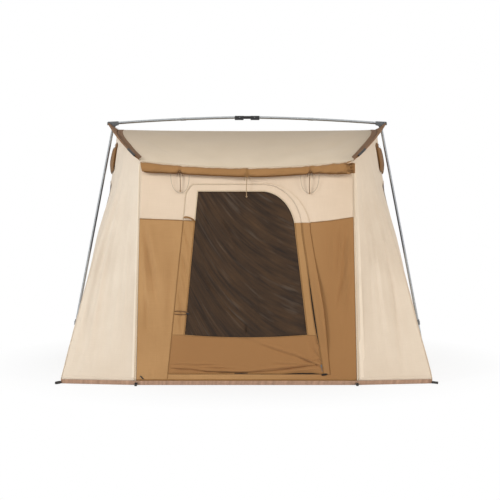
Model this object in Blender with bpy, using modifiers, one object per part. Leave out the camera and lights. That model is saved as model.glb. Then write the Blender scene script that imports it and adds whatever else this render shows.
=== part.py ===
"""Canvas cabin tent: a sewn canvas body on a tray floor, hung from two sprung roof bars.

A ridge pole that folds at its middle runs over the roof, presses down on both bars, and stands on
one telescoping leg at each end. Metres, +Z up, the door faces -Y, origin at the centre of the floor.
"""

import math

import bmesh
import bpy
from mathutils import Matrix, Vector

# Clearances
TOUCH = 0.0003
SEAM = 0.0006
RUNNING = 0.0005

# Floor tray
FLOOR_WIDTH = 3.05
FLOOR_DEPTH = 3.05
CORNER_SETBACK = 0.08
FLOOR_CLOTH = 0.003
LIP_HEIGHT = 0.036

# Canvas walls and roof
CANVAS = 0.002
WALL_FOOT_WIDTH = 1.794
WALL_LEAN = 0.115
BAND_HEIGHT = 1.342
EAVE_SAG = 0.055
RIDGE_SAG = 0.010
ROOF_BILLOW = 0.012
SIDE_SWELL = 0.024
FOLD_DEPTH = 0.007
CORNER_SHARE = 0.65
CORNER_CUTBACK = 0.0012
WING_CUTBACK = 0.0013
EDGE_CUTBACK = 0.0011

# Sprung roof bars and the canvas fin that hangs the body from them
BAR_DIAMETER = 0.0095
APEX_HALF_SPAN = 1.325
APEX_HEIGHT = 2.266
BAR_END_HALF_SPAN = 0.915
BAR_END_HEIGHT = 1.868
BAR_BOW = 0.0175
BAR_BEND = 0.05
FIN_WIDTH = 0.047
FIN_DROP = 0.045
APEX_TUCK_IN = 0.103
APEX_TUCK_DOWN = 0.063
TUCK_REACH = 0.35
SLEEVE_START = 0.05
SLEEVE_END = 0.998
SLEEVE_WALL = 0.0022
STRAP_WIDTH = 0.018
STRAP_INNER_EDGE = 0.022
STRAP_END_GAP = 0.0013
WEBBING = 0.002

# Poles
TUBE_DIAMETER = 0.0254
TUBE_WALL = 0.0015
HUB_HEIGHT = 2.326
HUB_PIN_OUT = 0.072
HUB_BAR_HALF = 0.050
KNUCKLE_INNER_END = 0.034
KNUCKLE_OUTER_END = 0.118
KNUCKLE_PLATE = 0.003
KNUCKLE_ABOVE = 0.014
KNUCKLE_BELOW = 0.024
PIN_DIAMETER = 0.008
PIN_HEAD_DIAMETER = 0.013
PIN_HEAD = 0.0024
TUBE_PAST_PIN = 0.015
RIDGE_END_OUT = 1.275
RIDGE_BOW = 0.010
RIDGE_JOINT_OUT = 0.63
SWAGE_LENGTH = 0.045
SWAGE_WALL = 0.0018

# Ridge end fittings, in distances from the bar's apex: inboard and down are positive
FITTING_HALF_WIDTH = 0.0168
SOCKET_REACH = 0.090
SOCKET_ABOVE = 0.022
SOCKET_BELOW = 0.012
SLOT_HALF_WIDTH = 0.0062
JAW_DEPTH = 0.014
JAW_OUT = 0.0165
LEG_PIN_IN = 0.035
LEG_PIN_DOWN = 0.047
CLEVIS_RADIUS = 0.0165
CHANNEL_TOP = 0.0186

# Legs
FOOT_OUTSIDE_FLOOR = 0.195
LEG_PAST_PIN = 0.014
NOTCH_LENGTH = 0.030
UPPER_LEG_LENGTH = 1.93
LOWER_LEG_OVERLAP = 0.26
LEG_SLIDE = 0.20
COLLAR_LENGTH = 0.050
COLLAR_DIAMETER = 0.0356
COLLAR_ABOVE_END = 0.005
BUTTON_DIAMETER = 0.008
BUTTON_TRAVEL = 0.0038
BUTTON_PROUD = 0.0037
FOOT_DIAMETER = 0.031
FOOT_HEIGHT = 0.040
FOOT_SOLE = 0.012

# Door in the front wall, as distances from its middle and heights up the wall
DOOR_SILL = 0.087
DOOR_TOP = 1.632
HINGE_FOOT = -0.639
HINGE_SLANT = 0.099
HINGE_CORNER_HEIGHT = 1.50
HINGE_CORNER_WIDTH = 0.078
ZIP_FOOT = 0.625
ZIP_KNEE_HEIGHT = 1.25
ZIP_KNEE = 0.455
ZIP_ARC_WIDTH = 0.318
MESH_SILL = 0.395
MESH_TOP = 1.575
MESH_FOOT_LEFT = -0.503
MESH_TOP_LEFT = -0.398
MESH_FOOT_RIGHT = 0.493
MESH_KNEE = 0.395
MESH_ARC_WIDTH = 0.272
FLAP_KNEE = 0.520
FLAP_HIP = 0.630
FLAP_HIP_HEIGHT = 0.60
FLAP_FOOT = 0.679
SLIDER_LENGTH = 0.024
SLIDER_WIDTH = 0.011
SLIDER_THICK = 0.005
PULL_LENGTH = 0.032
SLIDER_ABOVE_SILL = 0.068
SLIDER_TRAVEL = 1.05
TIEBACK_HEIGHTS = (0.600, 1.345)
TIEBACK_LENGTH = 0.110
TIEBACK_WIDTH = 0.012
TIEBACK_SEAM = 0.006
TOGGLE_DIAMETER = 0.010
TOGGLE_LENGTH = 0.034

# Side and rear windows with rolled covers
SIDE_WALL_ROWS = 9
WINDOW_SEAM = 0.0008
WINDOW_COLUMNS = (2, 10)
WINDOW_ROWS = (2, 5)
COVER_RADIUS = 0.026
COVER_DOWN_WALL = 0.115
COVER_REACH = 0.46
COVER_STANDOFF = 0.0014
REAR_WINDOW_HALF = 0.52
REAR_WINDOW_SILL = 0.95
REAR_WINDOW_TOP = 1.58
REAR_COVER_HALF = 0.60
REAR_COVER_HEIGHT = 1.65

# Rolled awning under the front eave: places along it with the roll's radius there
ROLL_GIRTHS = ((-0.866, 0.037), (-0.544, 0.024), (0.004, 0.035), (0.517, 0.023), (0.866, 0.046))
ROLL_TURNS = 2.25
ROLL_STEPS_PER_TURN = 12
ROLL_CLOTH_SHARE = 0.70
ROLL_CORE_SHARE = 0.22
ROLL_STANDOFF = 0.0006
TIE_PLACES = (-0.544, 0.004, 0.517)
TIE_LENGTHS = (0.145, 0.155, 0.160)
TIE_DIAMETER = 0.0034
LOOP_DIAMETER = 0.0026
LOOP_DROP = 0.150
LOOP_SPREAD = 0.075
LOOP_BEHIND = 0.0052

# Webbing loops for the pegs
PEG_LOOP_LENGTH = 0.055
PEG_LOOP_WIDTH = 0.018
PEG_LOOP_HEIGHT = 0.020
PEG_LOOP_LIFT = 0.001

# Worked out from the sizes above
TUBE_RADIUS = TUBE_DIAMETER / 2
BAR_RADIUS = BAR_DIAMETER / 2
PIN_RADIUS = PIN_DIAMETER / 2
FRONT_FOOT = FLOOR_DEPTH / 2
EAVE_DEPTH = FRONT_FOOT - WALL_LEAN
CORNER_DEPTH = FRONT_FOOT - CORNER_SETBACK
CORNER_OUT = FLOOR_WIDTH / 2
FOOT_HALF_SPAN = CORNER_OUT + FOOT_OUTSIDE_FLOOR
WALL_FOOT_HALF = WALL_FOOT_WIDTH / 2
WALL_TOP_HALF = BAR_END_HALF_SPAN - FIN_WIDTH
EAVE_HEIGHT = BAR_END_HEIGHT - FIN_DROP
WALL_RISE = EAVE_HEIGHT - LIP_HEIGHT
WALL_TILT = math.atan2(WALL_LEAN, WALL_RISE)
WALL_BOTTOM = LIP_HEIGHT + SEAM
HALF_SEAM = SEAM / 2
SIDES = {"left": -1, "right": 1}

CREAM = ("#E4CDB0", 0.9, 0.0)
TAN = ("#AD8354", 0.9, 0.0)
BROWN = ("#6E4E33", 0.9, 0.0)
MESH = ("#4B3B2E", 0.8, 0.0)
FLOOR = ("#9A7A66", 0.7, 0.0)
BLACK_WEB = ("#3C3A38", 0.8, 0.0)
STEEL = ("#8A8E90", 0.35, 1.0)
DARK_STEEL = ("#4A4C4D", 0.45, 1.0)
BLACK_PLASTIC = ("#1E1E1F", 0.5, 0.0)
CORD = ("#6B4A2C", 0.8, 0.0)
PALE_CORD = ("#B5A793", 0.8, 0.0)


def clear_scene():
    for old in list(bpy.data.objects):
        bpy.data.objects.remove(old, do_unlink=True)


clear_scene()
TENT = bpy.data.collections.new("canvas_tent")
CUTTERS = bpy.data.collections.new("cutters")
for group in (TENT, CUTTERS):
    bpy.context.scene.collection.children.link(group)


def linear(channel):
    return channel / 12.92 if channel <= 0.04045 else ((channel + 0.055) / 1.055) ** 2.4


def paint(obj, finish):
    colour, roughness, metallic = finish
    material = bpy.data.materials.new(obj.name)
    material.use_nodes = True
    shader = material.node_tree.nodes["Principled BSDF"]
    rgb = [linear(int(colour[i:i + 2], 16) / 255) for i in (1, 3, 5)]
    shader.inputs["Base Color"].default_value = (*rgb, 1.0)
    shader.inputs["Roughness"].default_value = roughness
    shader.inputs["Metallic"].default_value = metallic
    obj.data.materials.append(material)


def add(name, data, finish, matrix=None):
    obj = bpy.data.objects.new(name, data)
    TENT.objects.link(obj)
    obj.matrix_world = matrix or Matrix()
    paint(obj, finish)
    return obj


def axis_empty(name, matrix):
    empty = bpy.data.objects.new(name, None)
    TENT.objects.link(empty)
    empty.empty_display_size = 0.1
    empty.matrix_world = matrix
    return empty


def hang_on(empty, *pieces):
    bpy.context.view_layer.update()
    for piece in pieces:
        piece.parent = empty
        piece.matrix_parent_inverse = empty.matrix_world.inverted()


def mix(a, b, share):
    return a + (b - a) * share


def spread(places, share):
    """The value at a share of the way along a list of places, straight between them."""
    step = share * (len(places) - 1)
    index = min(int(step), len(places) - 2)
    return mix(places[index], places[index + 1], step - index)


def hump(share):
    return 4 * share * (1 - share)


def mesh_from(bm, name):
    mesh = bpy.data.meshes.new(name)
    bm.to_mesh(mesh)
    bm.free()
    return mesh


def box(name, low, high, finish):
    bm = bmesh.new()
    bmesh.ops.create_cube(bm, size=1.0)
    size = Vector(high) - Vector(low)
    middle = (Vector(high) + Vector(low)) / 2
    bmesh.ops.transform(bm, matrix=Matrix.Translation(middle) @ Matrix.Diagonal((*size, 1)), verts=bm.verts)
    return add(name, mesh_from(bm, name), finish)


def cutter(piece, name):
    TENT.objects.unlink(piece)
    CUTTERS.objects.link(piece)
    piece.name = name
    piece.hide_render = True
    piece.display_type = "WIRE"
    return piece


def cut(piece, tool, operation="DIFFERENCE"):
    boolean = piece.modifiers.new(operation.lower(), "BOOLEAN")
    boolean.operation = operation
    boolean.object = tool
    return piece


def join(piece, other):
    """Makes piece and a second solid that it overlaps one body."""
    return cut(piece, cutter(other, f"joined_{other.name}"), "UNION")


def aim(start, end):
    """A frame at start whose Z axis points to end."""
    start, end = Vector(start), Vector(end)
    return Matrix.Translation(start) @ (end - start).to_track_quat("Z", "Y").to_matrix().to_4x4()


def turned(name, profile, finish, matrix=None, steps=20, ring=True):
    """Turns (radius, height) points about Z. A ring profile is closed; any other ends on the axis."""
    bm = bmesh.new()
    verts = [bm.verts.new((radius, 0, height)) for radius, height in profile]
    for a, b in zip(verts, verts[1:]):
        bm.edges.new((a, b))
    if ring:
        bm.edges.new((verts[-1], verts[0]))
    piece = add(name, mesh_from(bm, name), finish, matrix)
    screw = piece.modifiers.new("turn", "SCREW")
    screw.steps = screw.render_steps = steps
    screw.use_merge_vertices = True
    screw.merge_threshold = 0.00001
    screw.use_smooth_shade = True
    return piece


def pipe(name, start, end, outer, inner, finish, steps=20):
    length = (Vector(end) - Vector(start)).length
    profile = [(outer, length), (outer, 0), (inner, 0), (inner, length)]
    return turned(name, profile, finish, aim(start, end), steps)


def rod_cutter(name, start, end, radius, steps=16):
    length = (Vector(end) - Vector(start)).length
    profile = [(0, length), (radius, length), (radius, 0), (0, 0)]
    return cutter(turned(name, profile, STEEL, aim(start, end), steps, ring=False), name)


def tube(name, points, radius, finish, resolution=2, cyclic=False):
    curve = bpy.data.curves.new(name, "CURVE")
    curve.dimensions = "3D"
    curve.bevel_depth = radius
    curve.bevel_resolution = resolution
    curve.use_fill_caps = True
    spline = curve.splines.new("POLY")
    spline.points.add(len(points) - 1)
    for point, place in zip(spline.points, points):
        point.co = (*place, 1)
    spline.use_cyclic_u = cyclic
    return add(name, curve, finish)


def flat(name, outlines, thickness, finish, matrix=None, lift=0.0):
    """Cloth or plate cut to flat outlines, in the XY plane of matrix, raised by lift along its Z."""
    curve = bpy.data.curves.new(name, "CURVE")
    curve.dimensions = "2D"
    curve.fill_mode = "BOTH"
    curve.extrude = thickness / 2
    for outline in outlines:
        spline = curve.splines.new("POLY")
        spline.points.add(len(outline) - 1)
        for point, (x, y) in zip(spline.points, outline):
            point.co = (x, y, 0, 1)
        spline.use_cyclic_u = True
    return add(name, curve, finish, (matrix or Matrix()) @ Matrix.Translation((0, 0, lift)))


def as_mesh(piece):
    """Makes a curve a closed mesh, so that it can be cut."""
    bpy.context.view_layer.update()
    evaluated = piece.evaluated_get(bpy.context.evaluated_depsgraph_get())
    mesh = bpy.data.meshes.new_from_object(evaluated)
    bm = bmesh.new()
    bm.from_mesh(mesh)
    bmesh.ops.remove_doubles(bm, verts=bm.verts, dist=0.00001)
    bm.to_mesh(mesh)
    bm.free()
    name, place, group = piece.name, piece.matrix_world.copy(), piece.users_collection[0]
    bpy.data.objects.remove(piece)
    made = bpy.data.objects.new(name, mesh)
    group.objects.link(made)
    made.matrix_world = place
    return made


def loft(name, rings, finish, bore=None):
    """Skins closed rings of points, end to end. A bore is a second run of rings inside the first."""
    bm = bmesh.new()

    def skin(rows):
        made = [[bm.verts.new(point) for point in row] for row in rows]
        count = len(made[0])
        for low, high in zip(made, made[1:]):
            for i in range(count):
                j = (i + 1) % count
                bm.faces.new((low[i], low[j], high[j], high[i]))
        return made

    outside = skin(rings)
    if bore:
        inside = skin(bore)
        count = len(outside[0])
        for end in (0, -1):
            for i in range(count):
                j = (i + 1) % count
                bm.faces.new((outside[end][i], outside[end][j], inside[end][j], inside[end][i]))
    else:
        for end in (0, -1):
            bm.faces.new(outside[end])
    bmesh.ops.recalc_face_normals(bm, faces=bm.faces)
    piece = add(name, mesh_from(bm, name), finish)
    piece.data.shade_smooth()
    piece.data.set_sharp_from_angle(angle=math.radians(40))
    return piece


def cloth(name, surface, columns, rows, finish, window=None):
    """A sheet that follows surface(u, v) over the unit square, with a window of whole cells left out."""
    bm = bmesh.new()
    bmesh.ops.create_grid(bm, x_segments=columns, y_segments=rows, size=0.5)
    if window:
        (first_column, last_column), (first_row, last_row) = window
        inside = [
            face for face in bm.faces
            if first_column < (face.calc_center_median().x + 0.5) * columns < last_column
            and first_row < (face.calc_center_median().y + 0.5) * rows < last_row
        ]
        bmesh.ops.delete(bm, geom=inside, context="FACES")
    for vert in bm.verts:
        vert.co = surface(vert.co.x + 0.5, vert.co.y + 0.5)
    piece = add(name, mesh_from(bm, name), finish)
    piece.data.shade_smooth()
    solid = piece.modifiers.new("thickness", "SOLIDIFY")
    solid.thickness = CANVAS
    solid.offset = 0
    return piece


def ring_points(centre, along, across, radius, count):
    """A circle of points about centre, in the plane that along is square to."""
    along = along.normalized()
    first = (across - along * across.dot(along)).normalized()
    second = along.cross(first)
    turns = [2 * math.pi * i / count for i in range(count)]
    return [centre + radius * (first * math.cos(a) + second * math.sin(a)) for a in turns]


def shift_line(points, distance):
    """Moves an open line of points to its left by distance."""
    moved = []
    for i, (x, y) in enumerate(points):
        before = Vector(points[max(i - 1, 0)])
        after = Vector(points[min(i + 1, len(points) - 1)])
        run = (after - before).normalized()
        moved.append((x - run.y * distance, y + run.x * distance))
    return moved


def quarter(centre, width, rise, start, end, steps):
    """Points of an ellipse's quarter from start to end, in degrees."""
    angles = [math.radians(mix(start, end, i / steps)) for i in range(steps + 1)]
    return [(centre[0] + width * math.cos(a), centre[1] + rise * math.sin(a)) for a in angles]


# Lines and surfaces that the pieces share

def bar_point(t, side=1):
    """The roof bar's axis: t is 0 at the ridge, 1 at the front eave and -1 at the rear eave."""
    share = (math.hypot(t, BAR_BEND) - BAR_BEND) / (math.hypot(1, BAR_BEND) - BAR_BEND)
    x = mix(APEX_HALF_SPAN, BAR_END_HALF_SPAN, share) + BAR_BOW * hump(share)
    return Vector((side * x, -EAVE_DEPTH * t, mix(APEX_HEIGHT, BAR_END_HEIGHT, share)))


def canvas_edge(t, side=1):
    """The fold where roof, side wall and fin meet, inside and below the bar."""
    tuck = max(0.0, 1 - abs(t) / TUCK_REACH) ** 2
    inward = mix(FIN_WIDTH, APEX_TUCK_IN, tuck)
    down = mix(FIN_DROP, APEX_TUCK_DOWN, tuck)
    return bar_point(t, side) - Vector((side * inward, 0, down))


def edge_places():
    """Places along half of that fold, shared by all that is sewn there, with one at the corner seam."""
    near = [mix(SLEEVE_START, CORNER_SHARE, (i / 5) ** 1.5) for i in range(6)]
    return near + [mix(CORNER_SHARE, 1, i / 4) for i in range(1, 5)]


def floor_edge(t, side=1):
    """The foot of the side wall and of the wings that close it to the front and rear walls."""
    end = math.copysign(1, t)
    if abs(t) <= CORNER_SHARE:
        x, y = CORNER_OUT, CORNER_DEPTH * abs(t) / CORNER_SHARE
    else:
        share = (abs(t) - CORNER_SHARE) / (1 - CORNER_SHARE)
        x, y = mix(CORNER_OUT, WALL_FOOT_HALF, share), mix(CORNER_DEPTH, FRONT_FOOT, share)
    return Vector((side * x, -end * y, WALL_BOTTOM))


def side_surface(t, down, side=1):
    """The taut side of the tent, with a slight outward swell and soft upright folds by the corners."""
    point = canvas_edge(t, side).lerp(floor_edge(t, side), down)
    slack = min(1.0, 2 * (1 - abs(t)))
    fold = math.sin(7 * math.pi * (abs(t) - CORNER_SHARE)) * math.sin(math.pi * down)
    point.x += side * (SIDE_SWELL * hump(down) * slack + FOLD_DEPTH * fold * slack)
    return point


def eave_height(x):
    return EAVE_HEIGHT - EAVE_SAG * (1 - (x / WALL_TOP_HALF) ** 2)


def roof_surface(across, down, end):
    """Half of the roof, from the ridge to the front eave (end 1) or the rear eave (end -1)."""
    inset = Vector((EDGE_CUTBACK, 0, 0))
    left = canvas_edge(end * down, -1) + inset
    right = canvas_edge(end * down, 1) - inset
    point = left.lerp(right, across)
    point.z -= hump(across) * (mix(RIDGE_SAG, EAVE_SAG, down) + ROOF_BILLOW * hump(down))
    return point


def ridge_point(x, side=1):
    """The ridge pole's axis, bowed up between its hub and its end."""
    share = (x - HUB_PIN_OUT) / (APEX_HALF_SPAN - HUB_PIN_OUT)
    z = mix(HUB_HEIGHT, APEX_HEIGHT, share) + RIDGE_BOW * hump(share)
    return Vector((side * x, 0, z))


def leg_point(along, side=1):
    """A point on the leg's axis, along from its pin towards its foot."""
    pin = leg_pin(side)
    foot = Vector((side * FOOT_HALF_SPAN, 0, 0))
    return pin + (foot - pin).normalized() * along


def leg_pin(side=1):
    return Vector((side * (APEX_HALF_SPAN - LEG_PIN_IN), 0, APEX_HEIGHT - LEG_PIN_DOWN))


LEG_LENGTH = (Vector((FOOT_HALF_SPAN, 0, 0)) - leg_pin()).length


def wall_matrix(end):
    """The frame of the front wall (end 1) or rear wall (end -1): X across, Y up it, Z outward."""
    turn = Matrix.Rotation(0 if end > 0 else math.pi, 4, "Z")
    foot = Matrix.Translation((0, -FRONT_FOOT, LIP_HEIGHT))
    return turn @ foot @ Matrix.Rotation(math.pi / 2 - WALL_TILT, 4, "X")


def on_wall(points):
    """Turns (x, height above the ground) into the wall frame's coordinates."""
    return [(x, (height - LIP_HEIGHT) / math.cos(WALL_TILT)) for x, height in points]


def wall_side(height):
    """Half the wall's width at a height, cut back for the seam to the wing."""
    return mix(WALL_FOOT_HALF, WALL_TOP_HALF, (height - LIP_HEIGHT) / WALL_RISE) - HALF_SEAM


def hinge_x(height):
    return HINGE_FOOT + (height - DOOR_SILL) * HINGE_SLANT


def zip_x(height):
    rise = DOOR_TOP - ZIP_KNEE_HEIGHT
    if height > ZIP_KNEE_HEIGHT:
        return ZIP_KNEE - ZIP_ARC_WIDTH * (1 - math.sqrt(1 - ((height - ZIP_KNEE_HEIGHT) / rise) ** 2))
    return mix(ZIP_FOOT, ZIP_KNEE, (height - DOOR_SILL) / (ZIP_KNEE_HEIGHT - DOOR_SILL))


def zip_edge(low, high, outward):
    """The zip's line between two heights, shifted outward for the seam."""
    heights = (low, ZIP_KNEE_HEIGHT, (ZIP_KNEE_HEIGHT + high) / 2, high)
    return [(zip_x(height) + outward, height) for height in heights]


def doorway_line(low):
    """The door's edge from height low on the hinge side, over the top, down to low on the zip side."""
    corner_x = hinge_x(HINGE_CORNER_HEIGHT)
    corner = quarter((corner_x + HINGE_CORNER_WIDTH, HINGE_CORNER_HEIGHT), HINGE_CORNER_WIDTH,
                     DOOR_TOP - HINGE_CORNER_HEIGHT, 180, 90, 4)
    arc = quarter((ZIP_KNEE - ZIP_ARC_WIDTH, ZIP_KNEE_HEIGHT), ZIP_ARC_WIDTH,
                  DOOR_TOP - ZIP_KNEE_HEIGHT, 90, 0, 10)
    right = [point for point in arc if point[1] > low]
    return [(hinge_x(low), low), *corner, *right, (zip_x(low), low)]


def mesh_left(height):
    return mix(MESH_FOOT_LEFT, MESH_TOP_LEFT, (height - MESH_SILL) / (MESH_TOP - MESH_SILL))


def mesh_right(height):
    rise = MESH_TOP - ZIP_KNEE_HEIGHT
    if height > ZIP_KNEE_HEIGHT:
        return MESH_KNEE - MESH_ARC_WIDTH * (1 - math.sqrt(1 - ((height - ZIP_KNEE_HEIGHT) / rise) ** 2))
    return mix(MESH_FOOT_RIGHT, MESH_KNEE, (height - MESH_SILL) / (ZIP_KNEE_HEIGHT - MESH_SILL))


def mesh_line(low):
    """The door window's edge, from height low on the left, over the top, down to low on the right."""
    arc = quarter((MESH_KNEE - MESH_ARC_WIDTH, ZIP_KNEE_HEIGHT), MESH_ARC_WIDTH,
                  MESH_TOP - ZIP_KNEE_HEIGHT, 90, 0, 8)
    right = [point for point in arc if point[1] > low]
    return [(mesh_left(low), low), (MESH_TOP_LEFT, MESH_TOP), *right, (mesh_right(low), low)]


def roll_radius(x):
    """The rolled awning's radius, eased between its girths."""
    for (x0, r0), (x1, r1) in zip(ROLL_GIRTHS, ROLL_GIRTHS[1:]):
        if x <= x1:
            share = min(max((x - x0) / (x1 - x0), 0), 1)
            return mix(r0, r1, (1 - math.cos(math.pi * share)) / 2)
    return ROLL_GIRTHS[-1][1]


def roll_spiral():
    """The wound strip's outer face as (y, z) points on a roll of radius 1, from its core to its free edge."""
    count = round(ROLL_TURNS * ROLL_STEPS_PER_TURN)
    points = []
    for i in range(count + 1):
        angle = math.pi / 2 - 2 * math.pi * ROLL_TURNS * (1 - i / count)
        reach = mix(ROLL_CORE_SHARE, 1, i / count)
        points.append((-reach * math.cos(angle), reach * math.sin(angle)))
    return points


def roll_centre(x):
    """The rolled awning's axis: it hangs just under the eave, against the outside of the wall."""
    radius = roll_radius(x)
    height = eave_height(x) - CANVAS - ROLL_STANDOFF - radius
    lean = (height - LIP_HEIGHT) * math.tan(WALL_TILT)
    back = max(y * math.cos(WALL_TILT) - z * math.sin(WALL_TILT) for y, z in roll_spiral())
    off_wall = (radius * back + CANVAS / 2 + ROLL_STANDOFF) / math.cos(WALL_TILT)
    return Vector((x, -FRONT_FOOT + lean - off_wall, height))


def roll_places():
    """Places along the roll, with one at each of its girths."""
    places = [ROLL_GIRTHS[0][0]]
    for (x0, _), (x1, _) in zip(ROLL_GIRTHS, ROLL_GIRTHS[1:]):
        places += [mix(x0, x1, i / 3) for i in (1, 2, 3)]
    return places


def roll_underside(x):
    """The roll's lowest line, straight between its places."""
    lowest = min(z for _, z in roll_spiral())
    places = roll_places()
    x0, x1 = next(pair for pair in zip(places, places[1:]) if x <= pair[1])
    low, high = (roll_centre(place) + Vector((0, 0, lowest * roll_radius(place))) for place in (x0, x1))
    return low.lerp(high, (x - x0) / (x1 - x0))


# Frame

def hub():
    """Two upward-open knuckles on a short middle bar, and the pins that the ridge tubes fold about."""
    inner_half = TUBE_RADIUS + TOUCH
    outer_half = inner_half + KNUCKLE_PLATE
    reach = HUB_BAR_HALF
    radius = inner_half + KNUCKLE_PLATE / 2
    profile = [(0, 2 * reach), (radius, 2 * reach), (radius, 0), (0, 0)]
    ends = (Vector((-reach, 0, HUB_HEIGHT)), Vector((reach, 0, HUB_HEIGHT)))
    body = turned("ridge_hub", profile, BLACK_PLASTIC, aim(*ends), ring=False)
    floor = HUB_HEIGHT - KNUCKLE_BELOW + KNUCKLE_PLATE
    for word, side in SIDES.items():
        near, far = sorted((side * KNUCKLE_INNER_END, side * KNUCKLE_OUTER_END))
        knuckle = box(f"knuckle_{word}", (near, -outer_half, HUB_HEIGHT - KNUCKLE_BELOW),
                      (far, outer_half, HUB_HEIGHT + KNUCKLE_ABOVE), BLACK_PLASTIC)
        join(body, knuckle)
        near, far = sorted((side * reach, side * (KNUCKLE_OUTER_END + 0.01)))
        pocket = box(f"hub_pocket_{word}", (near, -inner_half, floor),
                     (far, inner_half, HUB_HEIGHT + KNUCKLE_ABOVE + 0.01), STEEL)
        cut(body, cutter(pocket, f"hub_pocket_{word}"))
        cut(body, pin_hole(f"hub_hole_{word}", ridge_point(HUB_PIN_OUT, side)))
        headed_pin(f"hub_pin_{word}", ridge_point(HUB_PIN_OUT, side), outer_half)


def pin_hole(name, centre):
    reach = Vector((0, 0.03, 0))
    return rod_cutter(name, centre - reach, centre + reach, PIN_RADIUS + TOUCH)


def headed_pin(name, centre, half_grip):
    """A riveted pin along Y, with a head just outside each plate."""
    inner = half_grip + TOUCH
    outer = inner + PIN_HEAD
    head = PIN_HEAD_DIAMETER / 2
    profile = [(0, outer), (head, outer), (head, inner), (PIN_RADIUS, inner),
               (PIN_RADIUS, -inner), (head, -inner), (head, -outer), (0, -outer)]
    along = aim(centre, centre + Vector((0, 1, 0)))
    return turned(name, profile, DARK_STEEL, along, steps=14, ring=False)


def ridge_half(word, side):
    """Both tubes of one half of the ridge pole; the outer one is swaged over the inner one."""
    sides = 12
    up = Vector((0, 0, 1))

    def bent_pipe(name, stations):
        outer, inner = [], []
        for x, outside, inside in stations:
            along = ridge_point(x + 0.001, side) - ridge_point(x - 0.001, side)
            outer.append(ring_points(ridge_point(x, side), along, up, outside, sides))
            inner.append(ring_points(ridge_point(x, side), along, up, inside, sides))
        return loft(name, outer, STEEL, bore=inner)

    bore = TUBE_RADIUS - TUBE_WALL
    start = HUB_PIN_OUT - TUBE_PAST_PIN
    steps = 5
    inner_run = [(mix(start, RIDGE_JOINT_OUT, i / steps), TUBE_RADIUS, bore) for i in range(steps + 1)]
    inner_tube = bent_pipe(f"ridge_inner_tube_{word}", inner_run)
    cut(inner_tube, pin_hole(f"ridge_hole_{word}", ridge_point(HUB_PIN_OUT, side)))

    over = TUBE_RADIUS + TOUCH
    lap = RIDGE_JOINT_OUT - SWAGE_LENGTH
    swage = [(lap, over + SWAGE_WALL, over), (RIDGE_JOINT_OUT + TOUCH, over + SWAGE_WALL, over),
             (RIDGE_JOINT_OUT + 0.004, over + SWAGE_WALL, bore), (RIDGE_JOINT_OUT + 0.010, TUBE_RADIUS, bore)]
    outer_run = [(mix(RIDGE_JOINT_OUT + 0.010, RIDGE_END_OUT, i / steps), TUBE_RADIUS, bore)
                 for i in range(1, steps + 1)]
    outer_tube = bent_pipe(f"ridge_outer_tube_{word}", swage + outer_run)
    return inner_tube, outer_tube


def end_fitting(word, side):
    """The casting at the ridge's end: a socket for the tube, a slot over the bar, a clevis for the leg."""
    slot_top = BAR_RADIUS + TOUCH
    pin = (-LEG_PIN_IN, -LEG_PIN_DOWN)
    eye = quarter(pin, CLEVIS_RADIUS, CLEVIS_RADIUS, 0, -180, 8)
    outline = [
        (-SOCKET_REACH, -SOCKET_BELOW), (-SOCKET_REACH, SOCKET_ABOVE), (0.006, SOCKET_ABOVE - 0.004),
        (JAW_OUT, SOCKET_ABOVE - 0.011), (JAW_OUT, -JAW_DEPTH), (SLOT_HALF_WIDTH + 0.001, -JAW_DEPTH),
        (SLOT_HALF_WIDTH, -BAR_RADIUS), (SLOT_HALF_WIDTH, 0), (SLOT_HALF_WIDTH - 0.003, slot_top),
        (-SLOT_HALF_WIDTH + 0.003, slot_top), (-SLOT_HALF_WIDTH, 0), (-SLOT_HALF_WIDTH, -BAR_RADIUS),
        (-SLOT_HALF_WIDTH - 0.001, -JAW_DEPTH), (-SLOT_HALF_WIDTH - 0.006, -CHANNEL_TOP),
        *eye, (-0.060, -CHANNEL_TOP - 0.002),
    ]
    place = Matrix.Translation((side * APEX_HALF_SPAN, 0, APEX_HEIGHT)) @ Matrix.Rotation(math.pi / 2, 4, "X")
    shape = [(side * x, z) for x, z in outline]
    fitting = as_mesh(flat(f"ridge_end_fitting_{word}", [shape], 2 * FITTING_HALF_WIDTH, DARK_STEEL, place))
    half_channel = TUBE_RADIUS + 0.0008
    channel = cutter(box("channel", (side * APEX_HALF_SPAN - 0.12, -half_channel, APEX_HEIGHT - 0.09),
                         (side * APEX_HALF_SPAN + 0.12, half_channel, APEX_HEIGHT - CHANNEL_TOP), STEEL),
                     f"channel_{word}")
    cut(fitting, channel)
    bore_end = ridge_point(RIDGE_END_OUT, side)
    outward = (ridge_point(RIDGE_END_OUT, side) - ridge_point(RIDGE_END_OUT - 0.05, side)).normalized()
    bore = rod_cutter(f"socket_{word}", bore_end - 0.08 * outward, bore_end + TOUCH * outward,
                      TUBE_RADIUS + TOUCH, steps=20)
    cut(fitting, bore)
    cut(fitting, pin_hole(f"clevis_hole_{word}", leg_pin(side)))
    return fitting


def notch_cutter(word, side):
    """The open notch in the leg's top that hooks under the clevis pin, flared the way the pin lifts out."""
    pin = leg_pin(side)
    up = (leg_point(0, side) - leg_point(1, side)).normalized()
    out = Vector((side * up.z, 0, -side * up.x))
    arm = pin - ridge_point(HUB_PIN_OUT, side)
    lift = Vector((-side * arm.z, 0, side * arm.x)).normalized()
    radius = PIN_RADIUS + TOUCH
    lean = math.atan2(lift.dot(out), lift.dot(up))
    bottom = quarter((0, 0), radius, radius, 180, 360 - math.degrees(lean), 8)
    (u, v), far = bottom[-1], NOTCH_LENGTH
    outline = [*bottom, (u + far * math.sin(lean), v + far * math.cos(lean)), (-radius, far)]
    frame = Matrix.Translation(pin) @ Matrix((out, up, out.cross(up))).transposed().to_4x4()
    notch = as_mesh(flat(f"leg_notch_{word}", [outline], 2 * TUBE_DIAMETER, STEEL, frame))
    return cutter(notch, notch.name)


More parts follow.
